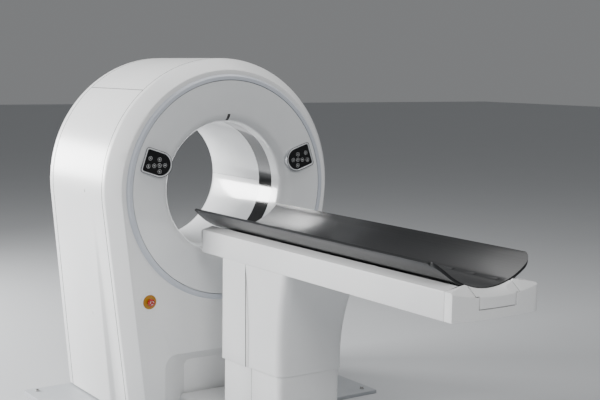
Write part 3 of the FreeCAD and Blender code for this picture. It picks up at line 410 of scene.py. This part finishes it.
@dataclass(frozen=True)
class Finish:
    """One real finish: what it is made of, how it was made, and what the eye sees.

    Lengths are in millimetres. tint is the second colour that the first drifts to.
    """

    name: str
    role: Role
    colour: str
    tint: str
    roughness: float
    spread: float = 0.06
    metallic: float = 0.0
    coat: float = 0.0
    coat_roughness: float = 0.1
    ior: float = 1.5
    patch: float = 120.0
    grain: float = 2.0
    depth: float = 0.02
    relief: float = 0.35

    def material(self) -> bpy.types.Material:
        """Build the material once and hand it out after that.

        Returns:
            The finish's material.
        """
        known = bpy.data.materials.get(self.name)
        if known:
            return known
        tree = Tree(self.name)
        place = tree.add("ShaderNodeTexCoord").outputs["Object"]
        builder = {Role.WOVEN: self.woven, Role.BRUSHED: self.brushed, Role.FLOOR: self.speckled}
        colour, rough, height = builder.get(self.role, self.plain)(tree, place)
        bump = tree.add("ShaderNodeBump", Strength=self.relief, Distance=self.depth * MM, Height=height)
        shader = tree.add("ShaderNodeBsdfPrincipled", Base_Color=colour, Roughness=rough,
                          Normal=bump.outputs["Normal"], Metallic=self.metallic, IOR=self.ior,
                          Coat_Weight=self.coat, Coat_Roughness=self.coat_roughness)
        tree.add("ShaderNodeOutputMaterial", Surface=shader.outputs["BSDF"])
        return tree.material

    def noise(self, tree: Tree, place: Socket, size: float, detail: float = 3.0) -> Socket:
        """Noise with blobs of a given size in millimetres."""
        node = tree.add("ShaderNodeTexNoise", Vector=place, Scale=1 / (size * MM), Detail=detail)
        return node.outputs["Fac"]

    def drift(self, tree: Tree, amount: Socket) -> Socket:
        """Colour that drifts between the finish's two colours."""
        return tree.add("ShaderNodeMix", {"data_type": "RGBA"}, Factor=amount, _6=linear(self.colour),
                        _7=linear(self.tint)).outputs[2]

    def vary(self, tree: Tree, amount: Socket) -> Socket:
        """Roughness that varies by the finish's spread."""
        return tree.add("ShaderNodeMapRange", Value=amount, To_Min=self.roughness - self.spread / 2,
                        To_Max=self.roughness + self.spread / 2).outputs[0]

    def plain(self, tree: Tree, place: Socket) -> tuple[Socket, Socket, Socket]:
        """Moulded, lacquered, cast or rubber: broad patches over a fine grain.

        Args:
            tree: The material's node tree.
            place: Object coordinates.

        Returns:
            Colour, roughness and height.
        """
        broad = self.noise(tree, place, self.patch)
        fine = self.noise(tree, place, self.grain, 2.0)
        return self.drift(tree, broad), self.vary(tree, broad), fine

    def brushed(self, tree: Tree, place: Socket) -> tuple[Socket, Socket, Socket]:
        """Brushed or extruded metal: fine lines along Y, drawn coarse enough to show.

        Args:
            tree: The material's node tree.
            place: Object coordinates.

        Returns:
            Colour, roughness and height.
        """
        stretched = tree.add("ShaderNodeMapping", Vector=place, Scale=(1, 0.02, 1))
        lines = self.noise(tree, stretched.outputs["Vector"], self.grain, 4.0)
        return self.drift(tree, lines), self.vary(tree, lines), lines

    def speckled(self, tree: Tree, place: Socket) -> tuple[Socket, Socket, Socket]:
        """Textured paint on steel: small grains with faint scuffs.

        Args:
            tree: The material's node tree.
            place: Object coordinates.

        Returns:
            Colour, roughness and height.
        """
        broad = self.noise(tree, place, self.patch, 6.0)
        grains = tree.add("ShaderNodeTexVoronoi", Vector=place, Scale=1 / (self.grain * MM))
        return self.drift(tree, broad), self.vary(tree, broad), grains.outputs["Distance"]

    def woven(self, tree: Tree, place: Socket) -> tuple[Socket, Socket, Socket]:
        """Twill carbon cloth under clear lacquer: tows cross at right angles and catch light in turn.

        Args:
            tree: The material's node tree.
            place: Object coordinates.

        Returns:
            Colour, roughness and height.
        """
        turned = tree.add("ShaderNodeMapping", Vector=place, Rotation=(0, 0, math.radians(45)))
        split = tree.add("ShaderNodeSeparateXYZ", Vector=turned.outputs["Vector"])
        pitch = 1 / (self.grain * MM)
        tows = []
        for axis in ("X", "Y"):
            scaled = tree.add("ShaderNodeMath", {"operation": "MULTIPLY"}, _0=split.outputs[axis], _1=pitch)
            tows.append(scaled.outputs[0])
        cells = [tree.add("ShaderNodeMath", {"operation": "FLOOR"}, _0=tow).outputs[0] for tow in tows]
        total = tree.add("ShaderNodeMath", {"operation": "ADD"}, _0=cells[0], _1=cells[1]).outputs[0]
        step = tree.add("ShaderNodeMath", {"operation": "WRAP"}, _0=total, _1=4.0, _2=0.0).outputs[0]
        over = tree.add("ShaderNodeMath", {"operation": "LESS_THAN"}, _0=step, _1=2.0).outputs[0]
        waves = []
        for tow in tows:
            part = tree.add("ShaderNodeMath", {"operation": "FRACT"}, _0=tow).outputs[0]
            waves.append(tree.add("ShaderNodeMath", {"operation": "PINGPONG"}, _0=part, _1=0.5).outputs[0])
        height = tree.add("ShaderNodeMix", {"data_type": "FLOAT"}, Factor=over, _2=waves[0],
                          _3=waves[1]).outputs[0]
        broad = self.noise(tree, place, self.patch)
        shade = tree.add("ShaderNodeMath", {"operation": "MULTIPLY_ADD"}, _0=over, _1=0.6, _2=height)
        return self.drift(tree, shade.outputs[0]), self.vary(tree, broad), height


class Finishes:
    """Every finish on the scanner and in the studio."""

    # Moulded polyurethane covers, sprayed with satin lacquer: near white, soft highlights.
    COVER = Finish("sprayed_polyurethane_cover", Role.MOULDED, "#E9EAEB", "#F2F2F1", 0.36, 0.05, coat=0.25,
                   coat_roughness=0.22, patch=260, grain=4, depth=0.03)
    # Glass-fibre funnel and liner, polished gelcoat: the bore throws clear reflections.
    GELCOAT = Finish("polished_gelcoat_bore", Role.GLOSSY, "#E4E6E8", "#EFF0F0", 0.22, 0.05, coat=0.6,
                     coat_roughness=0.06, patch=180, grain=6, depth=0.02)
    # Aluminium ring in blue-grey stove enamel.
    ENAMEL = Finish("blue_grey_enamel_ring", Role.MOULDED, "#C3C8D1", "#CED2DA", 0.34, 0.08, coat=0.2,
                    patch=90, grain=3, depth=0.03)
    # Thin black polycarbonate film, drawn tight: like dark glass.
    FILM = Finish("black_polycarbonate_window", Role.GLOSSY, "#08090B", "#0D0E10", 0.10, 0.04, coat=0.5,
                  coat_roughness=0.04, ior=1.58, patch=60, grain=8, depth=0.01)
    # Satin anodised aluminium tray, bead blasted before anodising.
    ANODISED = Finish("satin_anodised_bezel", Role.MOULDED, "#C2C5C9", "#D0D2D5", 0.30, 0.08, metallic=0.35,
                      patch=30, grain=1.2, depth=0.04)
    # Silver lacquer on the same tray's bead: bright from every side.
    SILVER = Finish("silver_lacquered_bead", Role.GLOSSY, "#DFE1E3", "#EBECED", 0.24, 0.06, metallic=0.25,
                    coat=0.4, patch=30, grain=1.5, depth=0.02)
    # Black acrylic overlay with polished face.
    ACRYLIC = Finish("black_acrylic_face", Role.GLOSSY, "#0B0B0D", "#121214", 0.13, 0.05, coat=0.4,
                     patch=40, grain=4, depth=0.01)
    # Silicone keys with a hard satin top coat.
    SILICONE = Finish("coated_silicone_key", Role.RUBBER, "#17181A", "#202124", 0.42, 0.1, patch=8,
                      grain=0.8, depth=0.03)
    # Screen-printed symbols and rings in white ink.
    INK = Finish("printed_white_ink", Role.MOULDED, "#DADCDD", "#E8E9E9", 0.45, 0.1, patch=10, grain=0.6,
                 depth=0.01)
    # Signal yellow polyamide disc.
    YELLOW = Finish("signal_yellow_polyamide", Role.MOULDED, "#A87405", "#B9830A", 0.36, 0.1, patch=20,
                    grain=1.5, depth=0.03)
    # Signal red polyamide mushroom, polished mould.
    RED = Finish("signal_red_polyamide", Role.GLOSSY, "#A30D0B", "#B31412", 0.24, 0.08, coat=0.3, patch=15,
                 grain=2, depth=0.02)
    # Steel plate in textured grey powder coat, scuffed by wheels and shoes.
    POWDER = Finish("textured_grey_powder_coat", Role.FLOOR, "#B9BCBF", "#A9ADB1", 0.5, 0.16, patch=150,
                    grain=2.5, depth=0.12)
    # Welded steel frame in plain grey primer.
    PRIMER = Finish("grey_primed_steel", Role.CAST, "#7F8387", "#8C9094", 0.55, 0.1, patch=90, grain=2,
                    depth=0.06)
    # Machined aluminium casting.
    CASTING = Finish("machined_aluminium_casting", Role.BRUSHED, "#A9ABAE", "#C2C4C6", 0.38, 0.14,
                     metallic=1.0, grain=1.2, depth=0.04)
    # Steel screws, chemically blackened and oiled.
    BLACKED = Finish("blackened_steel_screw", Role.CAST, "#1A1A1B", "#262627", 0.38, 0.1, metallic=0.6,
                     patch=10, grain=1, depth=0.02)
    # Ground bearing steel and stainless screws.
    STEEL = Finish("ground_stainless_steel", Role.BRUSHED, "#B4B3B0", "#CAC9C6", 0.27, 0.1, metallic=1.0,
                   grain=0.8, depth=0.02)
    # Anodised aluminium extrusions of the beam.
    EXTRUSION = Finish("anodised_aluminium_extrusion", Role.BRUSHED, "#B9BBBE", "#CBCDCF", 0.36, 0.12,
                       metallic=1.0, grain=1.5, depth=0.03)
    # Neoprene belt, roller cover and cover seals; also the black ring painted as shadow round each panel
    # bead.
    NEOPRENE = Finish("matt_black_neoprene", Role.RUBBER, "#161616", "#1F1F1F", 0.7, 0.1, patch=15,
                      grain=1.0, depth=0.08)
    # Carbon cloth of 3 mm tows, drawn at 4 mm so that it shows, under clear polished lacquer.
    CARBON = Finish("lacquered_twill_carbon", Role.WOVEN, "#0D0E0F", "#18191B", 0.32, 0.06, coat=0.3,
                    coat_roughness=0.16, patch=200, grain=4.0, depth=0.02)
    # Pale studio floor: smooth matt paper.
    PAPER = Finish("pale_studio_paper", Role.MOULDED, "#C6C8CA", "#C9CBCD", 0.8, 0.04, patch=900, grain=6,
                   depth=0.02)


SLOT_FINISHES = {
    "cover_white": Finishes.COVER,
    "trim_blue_grey": Finishes.ENAMEL,
    "window_black": Finishes.FILM,
    "bezel_silver": Finishes.ANODISED,
    "panel_black": Finishes.ACRYLIC,
    "key_rubber": Finishes.SILICONE,
    "stop_yellow": Finishes.YELLOW,
    "stop_red": Finishes.RED,
    "floor_steel": Finishes.PRIMER,
    "cast_ring": Finishes.CASTING,
    "bearing_steel": Finishes.STEEL,
    "belt_rubber": Finishes.NEOPRENE,
    "housing_grey": Finishes.PRIMER,
    "frame_aluminium": Finishes.EXTRUSION,
    "carbon": Finishes.CARBON,
    "roller_rubber": Finishes.NEOPRENE,
}

NODE_FINISHES = {
    "front_funnel": Finishes.GELCOAT,
    "rear_liner_upper": Finishes.GELCOAT,
    "rear_liner_lower": Finishes.GELCOAT,
    "base_plate": Finishes.POWDER,
    "cradle_screws": Finishes.BLACKED,
}


@dataclass
class PackedFrame:
    """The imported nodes: softened edges, smooth shading and real finishes.

    soft_edges gives the moulded radius of a node's outer edges, in millimetres, and crisp the
    angle above which an edge stays sharp, where it isn't usual_crisp. Edges sharper than
    rounded_above are rounded. Angles are in degrees; weld, in metres, joins the loose triangles.
    """

    soft_edges: dict[str, float] = field(default_factory=lambda: {
        "front_cover": 2.0, "rear_cover": 2.0, "front_trim_ring": 1.2, "upper_sleeve_head": 2.5,
        "upper_sleeve_foot": 2.5, "lower_sleeve_head": 2.0, "lower_sleeve_foot": 2.0, "beam_cover": 2.0,
        "beam_end_cap": 2.0, "cradle_end_block": 2.0, "link_cover": 2.5, "base_plate": 2.0, "cradle": 1.5,
        "panel_tray_left": 1.2, "panel_tray_right": 1.2, "estop_bases": 1.2})
    crisp: dict[str, float] = field(default_factory=lambda: {"front_cover": 22.0})
    usual_crisp: float = 38.0
    rounded_above: float = 40.0
    weld: float = 1e-5

    def dress(self) -> None:
        """Give every node its finish and its shading."""
        slots = {entry["node"]: entry["material_slot"] for entry in frame["record"]["subparts"]}
        for name, node in frame["nodes"].items():
            finish = NODE_FINISHES.get(name, SLOT_FINISHES[slots[name]])
            for place in node.material_slots:
                place.material = finish.material()
            self.soften(node, self.soft_edges.get(name, 0.0))
        LOG.info("dressed %d packed nodes", len(frame["nodes"]))

    def soften(self, node: Piece, radius: float) -> None:
        """Weld the node's loose triangles, round its edges and shade it smooth.

        Args:
            node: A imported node; its own mesh stays as it is.
            radius: Edge radius in millimetres; none if zero.
        """
        node.data.polygons.foreach_set("use_smooth", [True] * len(node.data.polygons))
        weld = node.modifiers.new("Weld", "WELD")
        weld.merge_threshold = self.weld
        if radius:
            bevel = node.modifiers.new("Edges", "BEVEL")
            bevel.width = radius * MM
            bevel.segments = 3
            bevel.limit_method = "ANGLE"
            bevel.angle_limit = math.radians(self.rounded_above)
            bevel.use_clamp_overlap = True
        split = node.modifiers.new("Crisp", "EDGE_SPLIT")
        split.split_angle = math.radians(self.crisp.get(node.name, self.usual_crisp))


@dataclass
class CoverSeals:
    """Black rubber strips pressed into the open joints between the covers. Metres."""

    radius: float = 0.683
    proud: float = 0.0003
    lip: float = 0.0008
    thick: float = 0.004
    width: float = 0.003
    front: float = -0.085
    rear: float = 0.557
    split: float = 1.712
    low: float = 0.031
    sleeve_joint: float = 0.0015
    sleeve_proud: float = 0.0001
    start_length: float = 0.01

    def build(self) -> None:
        """Make the arch, top and sleeve seals."""
        self.arch("seal_front", self.front, 6.9, 104)
        self.arch("seal_rear", self.rear, 5.3, 136)
        for side in Side:
            self.top(side)
            self.sleeve(side, "stationary", -0.751, (0.1970, 0.1970), (0.022, 0.534))
            self.sleeve(side, "lift", -0.732, (0.2210, 0.2260), (0.379, 0.8875))

    def arch(self, name: str, start: float, taper: float, sides: int) -> None:
        """A strip round the gantry: round above, leaning in below.

        Args:
            name: The piece's name.
            start: Lowest y of the joint.
            taper: Lean of the sides in degrees, two segments of the round part.
            sides: Segments of a full circle.
        """
        radius = self.radius + self.proud
        deselect()
        bpy.ops.mesh.primitive_cylinder_add(vertices=sides, radius=radius, depth=self.width + 2 * self.lip,
                                            end_fill_type="NOTHING",
                                            location=(0, start + self.width / 2, ISO_HEIGHT),
                                            rotation=(math.radians(90), 0, 0))
        piece = named(name)
        tangent = ISO_HEIGHT - radius * math.sin(math.radians(taper))
        lean = math.tan(math.radians(taper)) * (tangent - self.low)
        with editing(piece):
            choose_faces(piece, lambda centre, normal: centre.z < tangent - 0.001)
            bpy.ops.mesh.delete(type="FACE")
            for side in Side:
                choose_edges(piece, lambda middle, along: abs(along.y) > 0.9 and middle.z < tangent + 0.002
                             and middle.x * side.value > 0)
                bpy.ops.mesh.extrude_region_move(
                    TRANSFORM_OT_translate={"value": (-side.value * lean, 0, self.low - tangent)})
            bpy.ops.mesh.select_all(action="SELECT")
            bpy.ops.mesh.remove_doubles(threshold=DOUBLED)
            bpy.ops.mesh.normals_make_consistent(inside=False)
        apply_modifier(piece, "SOLIDIFY", thickness=self.thick, offset=-1.0)
        tidy(piece)
        smooth(piece)
        hand_over(piece, Finishes.NEOPRENE, "stationary")

    def top(self, side: Side) -> None:
        """The level strip between the top cover and one side cover.

        Args:
            side: Left or right.
        """
        across = math.sqrt(self.radius ** 2 - (self.split + self.width - ISO_HEIGHT) ** 2) - self.lip
        deselect()
        bpy.ops.mesh.primitive_cube_add(size=1, location=(side.value * (across - self.thick),
                                                          (self.front + self.width + self.rear) / 2,
                                                          self.split + self.width / 2))
        bpy.context.active_object.scale = (self.thick * 2, self.rear - self.front - self.width, self.width)
        piece = named(f"seal_top_{side.name.lower()}")
        apply_modifier(piece, "BEVEL", width=0.0006, segments=2)
        hand_over(piece, Finishes.NEOPRENE, "stationary")

    def sleeve(self, side: Side, body: str, start: float, half: Pair,
               height: Pair) -> None:
        """An upright strip in a sleeve's joint, leaning out to the top.

        Args:
            side: Left or right.
            body: The body of that sleeve.
            start: Lowest y of the joint.
            half: Outer face of the strip from the middle, at the bottom and at the top.
            height: Lowest and highest z.
        """
        across = half[0] - self.thick / 2 + self.sleeve_proud
        deselect()
        bpy.ops.mesh.primitive_cube_add(size=1, location=(side.value * across, start + self.sleeve_joint / 2,
                                                          height[0] + self.start_length / 2))
        bpy.context.active_object.scale = (self.thick, self.sleeve_joint, self.start_length)
        piece = named(f"seal_{body}_sleeve_{side.name.lower()}")
        with editing(piece):
            choose_faces(piece, lambda centre, normal: normal.z > 0.9)
            rise = height[1] - height[0] - self.start_length
            bpy.ops.transform.translate(value=(side.value * (half[1] - half[0]), 0, rise))
        apply_modifier(piece, "BEVEL", width=0.0003, segments=1)
        hand_over(piece, Finishes.NEOPRENE, body)


class Sign(Enum):
    """What is printed on a key."""

    STOP = "centre"
    UP = "up"
    DOWN = "down"
    INNER = "inner"
    OUTER = "outer"
    LIGHT = "light"
    LOAD = "load"


@dataclass
class PanelPrint:
    """Bright beads round the control panels, a black ring outside each bead as painted shadow, and the
    printed signs on their keys. Metres.
    """

    front: float = -0.217
    key_front: float = -0.2165
    angle: float = 18.5
    round_centre: float = 0.441
    round_radius: float = 0.064
    flat_side: float = 0.538
    corner: float = 0.014
    bead: float = 0.0026
    # The black ring just outside the bead is painted shadow: the dark line round the bezel's edge.
    painted_shadow_out: float = 0.0012
    painted_shadow: float = 0.0014
    near: float = 1e-4
    ink: float = 0.00015
    key_radius: float = 0.011
    ring_inset: Pair = (0.0013, 0.0003)
    stop_ring: Pair = (0.0024, 0.0036)
    lamp: Pair = (0.0018, 0.0029)
    ray_at: float = 0.0058
    ray: float = 0.0011
    bed: float = 0.0014
    bed_drop: float = 0.0034
    bed_stretch: Pair = (3.6, 0.8)
    bed_arrow: float = 0.0032
    bed_arrow_rise: float = 0.0024
    arrow: float = 0.0040
    arrow_rise: float = 0.0012
    tail: float = 0.0014
    tail_drop: float = 0.0032

    def build(self) -> None:
        """Make both beads, the painted shadow ring outside each, and all signs."""
        bead = self.bead_round("panel_bead_right", self.round_radius - self.bead, self.bead)
        # Black neoprene ring outside the bead: painted shadow round the bezel's edge.
        painted_shadow = self.bead_round("panel_groove_right", self.round_radius + self.painted_shadow_out, self.painted_shadow)
        for piece, finish, slot in ((bead, Finishes.SILVER, "bezel_silver"),
                                    (painted_shadow, Finishes.NEOPRENE, "roller_rubber")):
            left = copy_to(piece, piece.name.replace("right", "left"), (0, 0, 0))
            turn_piece(left, 180, "Z", (0, self.front, 0))
            turn_piece(left, 180, "X", (0, self.front, ISO_HEIGHT))
            turn_piece(piece, -self.angle)
            turn_piece(left, self.angle)
            tidy(left)
            smooth(left)
            smooth(piece)
            hand_over(piece, finish, "stationary")
            hand_over(left, finish, "stationary")
        for sign in Sign:
            self.sign(sign)

    def bead_round(self, name: str, radius: float, bead: float) -> Piece:
        """A round bead along the panel's outline: half round inside, two round corners outside.

        Args:
            name: The piece's name.
            radius: Radius of the outline's round end.
            bead: Radius of the bead.

        Returns:
            The bead, drawn with the panel straight out along X.
        """
        deselect()
        bpy.ops.mesh.primitive_circle_add(vertices=48, radius=radius, rotation=(math.radians(90), 0, 0),
                                          location=(self.round_centre, self.front, ISO_HEIGHT))
        piece = named(name)
        out = self.flat_side - self.round_centre - (self.round_radius - radius)
        with editing(piece):
            choose_points(piece, lambda point: point.co.x > self.round_centre + self.near)
            bpy.ops.mesh.delete(type="VERT")
            choose_points(piece, lambda point: len(point.link_edges) == 1)
            bpy.ops.mesh.extrude_vertices_move(TRANSFORM_OT_translate={"value": (out, 0, 0)})
            bpy.ops.mesh.edge_face_add()
            choose_points(piece, lambda point: point.co.x > self.round_centre + out - self.near)
            bpy.ops.mesh.bevel(offset=self.corner, segments=8, affect="VERTICES")
        pick(piece)
        bpy.ops.object.convert(target="CURVE")
        piece.data.bevel_depth = bead
        piece.data.bevel_resolution = 3
        bpy.ops.object.convert(target="MESH")
        piece = bpy.context.active_object
        piece.name = name
        piece.data.name = name
        tidy(piece)
        return piece

    def sign(self, sign: Sign) -> None:
        """Model one sign and put a copy on the key of each panel.

        Args:
            sign: Which sign; its value names the key.
        """
        key = sign.value
        low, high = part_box(f"key_right_{key}")
        centre = ((low[0] + high[0]) / 2, (low[2] + high[2]) / 2)
        rim = [self.key_radius - inset for inset in self.ring_inset]
        parts = [self.band(f"sign_{key}_ring", centre, *rim)]
        parts += self.drawing(sign, centre)
        right = join(f"sign_right_{key}", parts)
        low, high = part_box(f"key_left_{key}")
        left = copy_to(right, f"sign_left_{key}", ((low[0] + high[0]) / 2 - centre[0], 0, 0))
        hand_over(right, Finishes.INK, f"key_right_{key}_cap")
        hand_over(left, Finishes.INK, f"key_left_{key}_cap")

    def band(self, name: str, centre: Pair, inner: float, outer: float) -> Piece:
        """A printed ring."""
        span = (self.key_front - self.ink, self.key_front)
        return hoop(name, (centre[0], 0, centre[1]), inner, outer, span, steps=32)

    def stroke(self, name: str, centre: Pair, size: float, sides: int, stretch: Pair = (1.0, 1.0)) -> Piece:
        """A printed dot, bar or triangle."""
        span = (self.key_front - self.ink, self.key_front)
        return prism(name, sides, centre, size, span, stretch=stretch, rounding=self.ink / 3)

    def drawing(self, sign: Sign, centre: Pair) -> list[Piece]:
        """The sign inside the ring: plain arrows, a lamp, a bed with an arrow, or a stop ring.

        Args:
            sign: Which sign.
            centre: The key's centre in x and z.

        Returns:
            Its strokes.
        """
        across, up = centre
        if sign is Sign.STOP:
            return [self.band("stop_ring", centre, *self.stop_ring)]
        if sign is Sign.LIGHT:
            turns = [index * math.pi / 3 for index in range(6)]
            offsets = [(self.ray_at * math.cos(turn), self.ray_at * math.sin(turn)) for turn in turns]
            rays = [self.stroke("ray", (across + right, up + rise), self.ray, 8) for right, rise in offsets]
            return [self.band("lamp", centre, *self.lamp)] + rays
        if sign is Sign.LOAD:
            return [self.stroke("bed", (across, up - self.bed_drop), self.bed, 8, self.bed_stretch),
                    self.stroke("bed_arrow", (across, up + self.bed_arrow_rise), self.bed_arrow, 3)]
        turns = {Sign.UP: 0, Sign.DOWN: 180, Sign.INNER: 90, Sign.OUTER: -90}
        head = self.stroke("arrow", (across, up + self.arrow_rise), self.arrow, 3)
        tail = self.stroke("tail", (across, up - self.tail_drop), self.tail, 8)
        arrow = join("arrow", [head, tail])
        turn_piece(arrow, turns[sign], "Y", (across, 0, up))
        return [arrow]


@dataclass
class StopTrim:
    """Moulded dish round each emergency stop, and the turning arrows on its cap. Metres."""

    front: float = -0.195
    cap_front: float = -0.224
    disc: float = 0.037
    disc_gap: float = 0.0006
    dish: float = 0.050
    dish_span: Pair = (-0.0045, 0.0002)
    dish_round: float = 0.0018
    ink: float = 0.0002
    arc: Pair = (0.0080, 0.0112)
    arc_sweep: float = 70.0
    tip: float = 0.0042
    tip_at: Pair = (0.0096, 0.0016)

    def build(self) -> None:
        """Make the right-hand pieces and copy them to the left."""
        low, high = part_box("estop_button_right")
        across, up = (low[0] + high[0]) / 2, (low[2] + high[2]) / 2
        span = (self.front + self.dish_span[0], self.front + self.dish_span[1])
        dish = hoop("estop_dish_right", (across, 0, up), self.disc + self.disc_gap, self.dish, span,
                    self.dish_round, 64)
        print_span = (self.cap_front - self.ink, self.cap_front)
        arrows = []
        for index in range(3):
            arc = hoop(f"estop_arrow_{index}", (across, 0, up), *self.arc, print_span, steps=10,
                       sweep=self.arc_sweep)
            tip = prism("estop_tip", 3, (across + self.tip_at[0], up + self.tip_at[1]), self.tip, print_span)
            arrow = join(f"estop_arrow_{index}", [arc, tip])
            turn_piece(arrow, 120 * index, "Y", (across, 0, up))
            arrows.append(arrow)
        mark = join("estop_arrows_right", arrows)
        for piece, finish, bodies in (
                (dish, Finishes.COVER, ("stationary", "stationary")),
                (mark, Finishes.INK, ("estop_right", "estop_left"))):
            left = copy_to(piece, piece.name.replace("right", "left"), (-2 * across, 0, 0))
            smooth(left)
            hand_over(piece, finish, bodies[0])
            hand_over(left, finish, bodies[1])


@dataclass
class FloorBolts:
    """Hexagon bolts with washers that hold the floor plate down. Metres."""

    top: float = 0.020
    washer: Pair = (0.0065, 0.012)
    washer_thick: float = 0.0025
    washer_round: float = 0.0005
    head: float = 0.0105
    head_thick: float = 0.008
    head_round: float = 0.0008
    places: tuple[Pair, ...] = ((-0.79, -0.36), (0.79, -0.36), (-0.79, 0.56), (0.79, 0.56), (-0.27, -1.06),
                                (0.27, -1.06))

    def build(self) -> None:
        """Model one bolt and copy it to every place."""
        under = -self.washer_thick
        washer = hoop("bolt_washer", (0, 0, 0), *self.washer, (under, 0.0), self.washer_round, 40)
        head = prism("bolt_head", 6, (0, 0), self.head, (under - self.head_thick, under),
                     rounding=self.head_round)
        bolt = join("floor_bolt", [washer, head])
        turn_piece(bolt, -90, "X", (0, 0, 0))
        smooth(bolt)
        for number, (across, along) in enumerate(self.places, 1):
            copy = copy_to(bolt, f"floor_bolt_{number}", (across, along, self.top))
            hand_over(copy, Finishes.STEEL, "stationary")
        bpy.data.objects.remove(bolt)


@dataclass(frozen=True)
class Softbox:
    """A square soft light: where it stands, what it points at, its side in metres, and its watts."""

    name: str
    place: Point
    aim: Point
    size: float
    power: float


@dataclass
class Studio:
    """Pale floor, soft lights, and the camera at its viewing angle."""

    softboxes: tuple[Softbox, ...] = (
        Softbox("key_softbox", (-5.6, 2.6, 3.2), (0.0, 0.2, 1.0), 3.0, 640),
        Softbox("front_fill", (-2.2, -6.8, 4.4), (0.0, -0.4, 1.0), 2.4, 170),
        Softbox("top_softbox", (0.8, -0.6, 5.2), (0.2, -0.6, 0.8), 3.5, 120),
        Softbox("bore_softbox", (-2.4, 4.4, 1.7), (0.2, 0.1, 1.15), 1.2, 230))
    air_colour: str = "#D8DADC"
    air_strength: float = 0.30
    floor_size: float = 90.0
    camera_place: Point = (-3.008, -5.255, 1.832)
    heading: float = 34.40
    downward: float = 6.73
    roll: float = 0.80
    lens: float = 66.65

    def build(self) -> None:
        """Set up floor, lights and camera."""
        self.floor()
        for softbox in self.softboxes:
            self.light(softbox)
        world = bpy.data.worlds.new("studio_air")
        world.use_nodes = True
        air = world.node_tree.nodes["Background"].inputs
        air["Color"].default_value = linear(self.air_colour)
        air["Strength"].default_value = self.air_strength
        bpy.context.scene.world = world
        self.camera()
        LOG.info("built the studio")

    def floor(self) -> None:
        """Pale paper floor."""
        deselect()
        bpy.ops.mesh.primitive_plane_add(size=self.floor_size, location=(0, 0, 0))
        floor = named("studio_floor")
        floor.data.materials.append(Finishes.PAPER.material())

    def light(self, softbox: Softbox) -> None:
        """Hang one softbox.

        Args:
            softbox: Which one.
        """
        lamp = bpy.data.lights.new(softbox.name, "AREA")
        lamp.size = softbox.size
        lamp.energy = softbox.power
        holder = bpy.data.objects.new(softbox.name, lamp)
        holder.location = softbox.place
        direction = Vector(softbox.aim) - Vector(softbox.place)
        holder.rotation_euler = direction.to_track_quat("-Z", "Y").to_euler()
        bpy.context.scene.collection.objects.link(holder)

    def camera(self) -> None:
        """Stand the camera at the table's foot, left of the bore axis."""
        lens = bpy.data.cameras.new("camera")
        lens.sensor_width = 36.0
        lens.lens = self.lens
        lens.clip_end = 100.0
        holder = bpy.data.objects.new("camera", lens)
        turn = (Matrix.Rotation(-math.radians(self.heading), 4, "Z")
                @ Matrix.Rotation(math.radians(90 - self.downward), 4, "X")
                @ Matrix.Rotation(math.radians(self.roll), 4, "Z"))
        holder.matrix_world = Matrix.Translation(Vector(self.camera_place)) @ turn
        bpy.context.scene.collection.objects.link(holder)
        bpy.context.scene.camera = holder


def main() -> None:
    """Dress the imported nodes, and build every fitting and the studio."""
    logging.basicConfig(level=logging.INFO)
    PackedFrame().dress()
    for assembly in (CoverSeals(), PanelPrint(), StopTrim(), FloorBolts(), Studio()):
        assembly.build()


if __name__ == "__main__":
    main()
